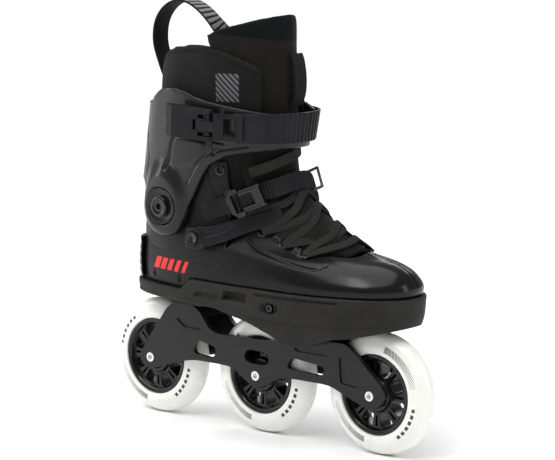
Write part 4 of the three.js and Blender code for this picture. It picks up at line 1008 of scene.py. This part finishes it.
def ankle_parts():
    for side, name in SIDES:
        low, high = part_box(f"ankle_washer_{name}")
        centre = (ANKLE[0], (low.y if side == INNER else high.y) / MM, ANKLE[1])
        washer = turned(f"ankle_washer_{name}_fine", WASHER_PROFILE, side, centre)
        placed(washer, "boot", "cuff_plastic", f"ankle_washer_{name}")
        bolt = turned(f"ankle_bolt_{name}_fine", BOLT_PROFILE, side, centre, (3.2, 1.6, 6))
        placed(bolt, "boot", "gloss_plastic", f"ankle_bolt_{name}")


cuff_piece()
ankle_parts()


# ---- Straps, arms and screws ----

STRAP_HEIGHT = 164
STRAP_ANGLES = (-58, -47, -34, -20, -6, 8, 22, 36, 50, 66, 82, 96)
STRAP_RIBS = 12
TOOTH_PITCH = 2.6
ARM_PIVOT = (-47, 181)
ARM_WIDTHS = [18 * share for share in (1, 1.2, 1, 0.95, 0.85, 0.72, 0.62)]
ARM_SLOT = [(-35, 184.5), (-22, 188), (-10, 194)]
SCREW_PROFILE = [(0.01, -12), (3.9, -12), (3.9, 0), (6.0, 0), (6.0, 1.1), (5.4, 1.9), (4.4, 2.0), (3.6, 1.5),
                 (0.01, 1.5)]
ARM_ROUTE = [(-97, 60.5), (-89, 61.2), (-81, 63), (-71, 67.5), (-57, 76), (-42, 85), (-35, 89.5)]
STRAP_ROUTE = [
    (-74, 85), (-67, 90), (-59, 95), (-50, 101), (-43, 105.5), (-36, 109), (-27, 112), (-14, 115.5),
    (0, 116.5), (12, 114), (24, 107), (36, 96), (47, 86), (57, 78),
]


def cuff_strap_piece():
    frames = skin_frames(CUFF, [(angle, STRAP_HEIGHT) for angle in STRAP_ANGLES], 2.0, 26)
    places = travelled(frames[0])
    start, end = 30.0, 85.0
    pulse = smoothstep(-0.15, 0.5, np.sin((places - start) * 2 * math.pi / (end - start) * STRAP_RIBS))
    ribs = pulse * smoothstep(start - 1, start, places) * smoothstep(end + 1, end, places)
    obj = band("cuff_strap_fine", frames, 27.0, 2.5 + 1.0 * ribs, 1.0)
    return placed(obj, "cuff", "strap_plastic", "cuff_strap")


def instep_strap_piece():
    frames = skin_frames(SHELL, STRAP_ROUTE, 2.5 + 3 + 1.6, 18)
    places = travelled(frames[0])
    teeth = smoothstep(-0.3, 0.6, np.sin(places * 2 * math.pi / TOOTH_PITCH))
    tail = smoothstep(0, 5, places)
    obj = band("instep_strap_fine", frames, 16.0 * (0.72 + 0.28 * tail), 2.3 + 0.7 * teeth, 0.7)
    return placed(obj, "instep_strap", "strap_plastic", "instep_strap")


def arm_pieces():
    half = half_width(SHELL, 61.0)
    for side, name in SIDES:
        frames = skin_frames(SHELL, [(-side * a, h) for a, h in ARM_ROUTE], 2.5, 8)
        widths = curve_through([[width] for width in ARM_WIDTHS], 8)[:, 0]
        arm = band(f"instep_arm_{name}_fine", frames, widths, 3.0, 1.0)
        boss = rod("boss", 10, *sorted((side * (half + 2), side * (half + 6.5))), *ARM_PIVOT)
        arm = soften(join(arm, boss), FINE * 0.6)
        side_line(arm, ARM_SLOT, 3.2, -1.0, side)
        placed(arm, "instep_strap", "strap_plastic", f"instep_arm_{name}")
        centre = (ARM_PIVOT[0], side * (half + 6.8), ARM_PIVOT[1])
        screw = turned(f"instep_screw_{name}_fine", SCREW_PROFILE, side, centre, (2.2, 0.6, 5), 48)
        placed(screw, "boot", "gloss_plastic", f"instep_screw_{name}")


cuff_strap_piece()
instep_strap_piece()
arm_pieces()


# ---- Liner, tongue, laces and pull loop ----

TOP_LINE = [
    (-160, 170), (-126, 202), (-116, 213), (-101, 225), (-78, 233), (-50, 236), (-31, 235),
    (-8, 228), (16, 216), (28, 203), (35, 186), (42, 172), (60, 168),
]
# Along the middle of the tongue: x, height above the seat, half width, thickness and fall of the sides.
TONGUE = [
    (106, 59, 15, 5, 0.5), (88, 71.7, 23, 6, 0.85), (68, 84.7, 27, 8, 1.05),
    (49, 98.5, 28, 9, 1.12), (36, 114, 30, 9, 0.98), (29, 130, 32, 9, 0.9), (28, 147, 33, 9, 0.9),
    (28, 170, 34, 10, 0.9), (28, 205, 35, 10, 1), (28, 222, 37, 11, 1.2), (28, 234, 39.5, 12, 1.38),
    (28, 246, 41, 13, 1.4), (28, 257, 42, 13, 1.4), (27, 264, 39, 9, 1.4),
]
TONGUE_COLUMNS = 21
TONGUE_SLOPE, TONGUE_DROOP = 4, 3
ARCH_POWER = 1.65
# Angle from the toe, height above the seat, and the height of a lace's ridge from there.
FRONT_EYELET = (27, 56, 63)
SIDE_EYELETS = [(48, 54.5, 72), (48.5, 61.5, 86), (52, 71, 102)]
HIDDEN_EYELET = (58, 84, 113)
UPPER_EYELETS = [(-14, 102), (-21, 124)]
EYELET_PROFILE = [(2.4, 0.2), (2.7, 1.1), (3.4, 1.6), (4.4, 1.5), (5.0, 0.9), (5.1, -0.6), (2.4, -0.6)]
LOOP_ROUTE = [
    (-115, 0, 196), (-123, 0, 212), (-130, 0, 232), (-128, 0, 251), (-118, 0, 264.5), (-103, 0, 271.5),
    (-88, 0, 270), (-74, 1, 262), (-64, 5, 250), (-60, 14, 237), (-60, 25, 226), (-60, 34, 214),
]
LOOP_CENTRE = np.array([-100.0, 0.0, SEAT + 240])
TAB_ROUTE = [(29, 4, 348), (32, 4, 340), (34, 4, 325), (33, 4, 312), (29, 4, 302)]
LACE_BAND_ROUTE = [
    (10, -38, 243.5), (17, -33, 246.5), (24, -25, 250), (29, -12, 254.5), (30.5, 0, 258), (27, 12, 262),
    (13, 25, 268),
]
CLOTH_FRAMES = 20
PADDING_PRESSURE = 3.0


def puffed(obj, voxel, pressure, cap):
    """Padding: the closed skin swells under pressure, each point by no more than a cap in millimetres."""
    voxels(obj, voxel)
    apply_modifiers(obj)
    before, _ = coordinates(obj)
    cloth = obj.modifiers.new("cloth", "CLOTH")
    settings = cloth.settings
    settings.use_pressure = True
    settings.uniform_pressure_force = pressure
    settings.effector_weights.gravity = 0
    settings.tension_stiffness = 8
    settings.bending_stiffness = 0.5
    cloth.point_cache.frame_start, cloth.point_cache.frame_end = 1, CLOTH_FRAMES
    for number in range(1, CLOTH_FRAMES + 1):
        bpy.context.scene.frame_set(number)
    apply_modifiers(obj)
    bpy.context.scene.frame_set(1)
    after, _ = coordinates(obj)
    move = after - before
    length = np.linalg.norm(move, axis=1)[:, None] + 1e-9
    capped = before + move / length * np.minimum(length, cap)
    obj.data.vertices.foreach_set("co", (capped * MM).ravel())
    smooth = obj.modifiers.new("smooth", "SMOOTH")
    smooth.iterations = 5
    divide = obj.modifiers.new("divide", "SUBSURF")
    divide.levels = divide.render_levels = 1
    return shade(apply_modifiers(obj))


def liner_rings(low, high, grow):
    """The liner follows the shell low down and its own collar above it."""
    heights = np.linspace(low, high, int((high - low) / 4))
    degrees = np.arange(96) * 3.75
    lower = skin(SHELL, heights[:, None], degrees[None, :], grow - 4.1)
    upper = skin(LINER, heights[:, None], degrees[None, :], grow)
    share = smoothstep(122, 138, heights)[:, None, None]
    rings = lower * (1 - share) + upper * share
    rings[..., 2] = heights[:, None] + SEAT
    return rings


def liner_piece():
    obj = loft("liner_fine", liner_rings(26.6, 246, -0.5))
    top = list(curve_through(above_seat(TOP_LINE), 5)) + [(60, 420), (-160, 420)]
    obj = cut(obj, loft("hollow", liner_rings(32, 262, -7.5)), prism("top", top, *WIDE),
              throat("throat", 1, 98), block("front", -8, 80, -27, 27, SEAT + 97, SEAT + 262))
    obj = puffed(obj, 3.2, PADDING_PRESSURE, 1.2)
    seam = [(x, z + SEAT - 7) for x, z in TOP_LINE[2:-2]]
    for side, _ in SIDES:
        side_line(obj, curve_through(seam, 4), 2.0, -1.3, side)
    placed(obj, None, "liner_cloth", "liner_lower", "liner_upper", slot="fabric")
    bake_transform(obj)


def tongue_piece():
    """A padded sheet arched over the foot, of even thickness across its arch and thinner at its edges."""
    rows = curve_through(TONGUE, 4)
    places = np.stack([rows[:, 0], np.zeros(len(rows)), rows[:, 1] + SEAT], 1)
    along = unit(np.gradient(places, axis=0))
    out = np.stack([along[:, 2], np.zeros(len(rows)), -along[:, 0]], 1)
    spans = np.sin(np.linspace(-1, 1, TONGUE_COLUMNS) * math.pi / 2)
    rings = []
    for place, direction, (_, height, half, thick, fall) in zip(places, out, rows):
        arch = -fall * half * np.abs(spans) ** ARCH_POWER
        lift = np.sqrt(1 - 0.4 * spans ** 4)
        droop = -smoothstep(215, 264, height) * (TONGUE_SLOPE * spans ** 2 + TONGUE_DROOP * spans ** 8)
        across = np.stack([np.zeros(TONGUE_COLUMNS), middle_line(place[0]) + spans * half, droop], 1)
        slope = ARCH_POWER * fall * np.sign(spans) * np.abs(spans) ** (ARCH_POWER - 1)
        normal = (direction + np.outer(slope, [0, 1, 0])) / np.sqrt(1 + slope ** 2)[:, None]
        middle = place + across + direction * (arch - 0.5 * thick)[:, None]
        to_face = normal * (0.5 * thick * lift)[:, None]
        rings.append(np.vstack([middle + to_face, (middle - to_face)[::-1]]))
    obj = puffed(loft("tongue_fine", rings), 2.4, PADDING_PRESSURE, 1.0)
    placed(obj, None, "tongue_cloth", "tongue_lower", "tongue_upper", slot="fabric")
    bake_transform(obj)


def lace_row(start, end, side, lift):
    """Frames of a lace from an eyelet on a side, over the tongue, to one on the other side."""
    ridge = (start[2] + end[2]) / 2
    route = [
        (side * start[0], start[1]), (side * start[0] * 0.55, (start[1] + ridge) / 2), (0, ridge),
        (-side * end[0] * 0.55, (end[1] + ridge) / 2), (-side * end[0], end[1]),
    ]
    points, along, out, across = skin_frames(SHELL, route, 3.1, 10)
    middle = np.sin(np.linspace(0, 1, len(points)) * math.pi)[:, None]
    return points + out * lift * middle, along, out, across


def lace_pieces():
    rows = [("lace_front", SIDE_EYELETS[0], FRONT_EYELET, OUTER, 1.6),
            ("lace_front_under", FRONT_EYELET, SIDE_EYELETS[1], INNER, 0.0)]
    crossed = SIDE_EYELETS + [HIDDEN_EYELET]
    for number, (low, high) in enumerate(zip(crossed, crossed[1:]), 1):
        rows.append((f"lace_under_{number}", low, high, INNER, 0.0))
        rows.append((f"lace_over_{number}", low, high, OUTER, 1.8))
    for name, start, end, side, lift in rows:
        obj = band(name, lace_row(start, end, side, lift), 7.4, 1.4, 0.6)
        placed(obj, "boot", "lace", *(["laces"] if name == "lace_front" else []))


def angle_at(height, x):
    """The angle on the shell's outer side where a height has a given x."""
    degrees = np.linspace(-90, 0, 361)
    return float(degrees[np.argmin(np.abs(skin(SHELL, float(height), degrees)[:, 0] - x))])


def eyelet_pieces():
    places = [(angle, height) for angle, height, _ in [FRONT_EYELET] + SIDE_EYELETS]
    places += [(-angle_at(height, x), height) for x, height in UPPER_EYELETS]
    for side, name in SIDES:
        for number, (angle, height) in enumerate(places, 1):
            if side == OUTER and number == 1:
                continue
            route = [(side * angle + turn, height) for turn in (-1, 0, 1)]
            points, along, out, across = skin_frames(SHELL, route, 0.0, 2)
            middle = len(points) // 2
            obj = shade(lathe(f"eyelet_{name}_{number}", EYELET_PROFILE, 40), 40)
            basis = Matrix((along[middle], out[middle], across[middle])).transposed().to_4x4()
            obj.matrix_world = Matrix.Translation(Vector(points[middle]) * MM) @ basis
            placed(obj, "boot", "gloss_plastic")


def ribbon(name, route, steps, across, width, thickness, round_off):
    """A flat band along a route, with its width close to a fixed direction."""
    points = curve_through(route, steps)
    along = unit(np.gradient(points, axis=0))
    out = unit(np.cross(along, np.tile(np.array(across, float), (len(points), 1))))
    frames = points - out, along, out, np.cross(out, along)
    return band(name, frames, width, thickness, round_off)


def tongue_ribbons():
    """The pull tab on the tongue, and the lace that holds its middle."""
    placed(ribbon("tongue_tab", TAB_ROUTE, 6, (0, -1, 0), 16.0, 1.2, 0.5), "cuff", "webbing")
    placed(ribbon("tongue_lace", LACE_BAND_ROUTE, 8, (0.1, 0, -1), 9.0, 1.5, 0.6), "boot", "lace")


def loop_piece():
    """The pull loop, dark inside and lighter with woven dashes on its outer face."""
    route = [(x, y, z + SEAT) for x, y, z in LOOP_ROUTE]
    obj = ribbon("heel_loop_fine", route, 8, (0, 1, 0), 20.0, 2.0, 0.6)
    placed(obj, "cuff", "webbing", "heel_loop")
    obj.data.materials.append(MATERIALS["webbing_outside"])
    for polygon in obj.data.polygons:
        inward, normal = LOOP_CENTRE - np.array(polygon.center) / MM, np.array(polygon.normal)
        if abs(normal[1]) < 0.5 and normal @ inward < -0.6 * np.linalg.norm(inward):
            polygon.material_index = 1


liner_piece()
tongue_piece()
lace_pieces()
eyelet_pieces()
loop_piece()
tongue_ribbons()


# ---- CAD parts that keep their shape ----

# CAD node, look, bevel width and bevel segments.
KEPT = [
    ("cuff_lever", "strap_plastic", 1.0, 3), ("cuff_link", "strap_plastic", 0.5, 2),
    ("cuff_buckle_base", "strap_plastic", 0.6, 2), ("cuff_lever_pin", "steel", 0, 0),
    ("cuff_strap_screw", "gloss_plastic", 0.5, 2), ("strap_keeper", "dark_steel", 0.5, 3),
    ("ratchet_body", "gloss_plastic", 0.4, 2), ("ratchet_lever", "gloss_plastic", 1.4, 4),
    ("ratchet_pawl", "strap_plastic", 0.3, 2), ("ratchet_pin", "steel", 0, 0),
    ("sole_screw_outer", "gloss_plastic", 0.3, 2), ("sole_screw_inner", "gloss_plastic", 0.3, 2),
    ("mount_bolt_front_outer", "steel", 0.4, 2), ("mount_bolt_front_inner", "steel", 0.4, 2),
    ("mount_bolt_rear", "steel", 0.4, 2),
] + [(f"spacer_{place}", "steel", 0, 0) for place in PLACES]

for node, look, width, segments in KEPT:
    for material_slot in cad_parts[node].material_slots:
        material_slot.material = MATERIALS[look]
    if width:
        bevelled(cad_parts[node], width, segments, 30)


# ---- Floor, lights and camera ----

def floor_piece():
    material = Surface("floor", (0.93, 0.93, 0.93), 0.7)
    material.tint(material.stretch(material.noise(1.5), 0.3, 0.7, 0.0, 0.3), (0.96, 0.96, 0.96))
    material.bump(material.noise(40.0), 0.02, 0.3)
    bpy.ops.mesh.primitive_grid_add(x_subdivisions=20, y_subdivisions=20, size=60, location=(0, 0, 0))
    floor = bpy.context.object
    floor.name = "floor"
    floor.data.materials.append(material.material)


def area_light(name, place, size, energy):
    data = bpy.data.lights.new(name, "AREA")
    data.shape, data.size, data.size_y, data.energy = "RECTANGLE", *size, energy
    light = linked(name, data)
    light.location = place
    light.rotation_euler = (Vector((0, 0, 0.2)) - Vector(place)).to_track_quat("-Z", "Y").to_euler()


def studio():
    """Soft light from all round, so that the floor comes out white as in a product photograph."""
    scene = bpy.context.scene
    scene.world = bpy.data.worlds.new("studio")
    scene.world.use_nodes = True
    background = scene.world.node_tree.nodes["Background"]
    background.inputs["Color"].default_value = (1, 1, 1, 1)
    background.inputs["Strength"].default_value = 0.3
    data = bpy.data.lights.new("ceiling", "SUN")
    data.energy, data.angle = 2.9, math.radians(70)
    linked("ceiling", data).rotation_euler = (math.radians(12), math.radians(-10), 0)
    area_light("key", (0.3, -1.6, 2.1), (0.5, 0.8), 9)
    area_light("left", (-1.9, -0.9, 0.9), (0.4, 1.6), 11)
    area_light("right", (1.9, 0.3, 0.8), (0.4, 1.6), 8)
    area_light("back", (-0.6, 1.8, 1.5), (1.6, 0.6), 12)
    scene.view_settings.view_transform = "Standard"


AZIMUTH, ELEVATION, DISTANCE = math.radians(39.353), math.radians(8.796), 2.0035
LENS_MM, SENSOR_MM = 141.9, 36


def camera():
    data = bpy.data.cameras.new("camera")
    data.lens, data.sensor_width, data.clip_end = LENS_MM, SENSOR_MM, 100
    camera_object = linked("camera", data)
    low, high = CAD_BOX
    target = Vector((-0.0062, 0.0207, (low.z + high.z) / 2 - 0.0128))
    back = Vector((math.sin(AZIMUTH) * math.cos(ELEVATION), -math.cos(AZIMUTH) * math.cos(ELEVATION),
                   math.sin(ELEVATION)))
    camera_object.location = target + back * DISTANCE
    camera_object.rotation_euler = (-back).to_track_quat("-Z", "Y").to_euler()
    bpy.context.scene.camera = camera_object


floor_piece()
studio()
camera()
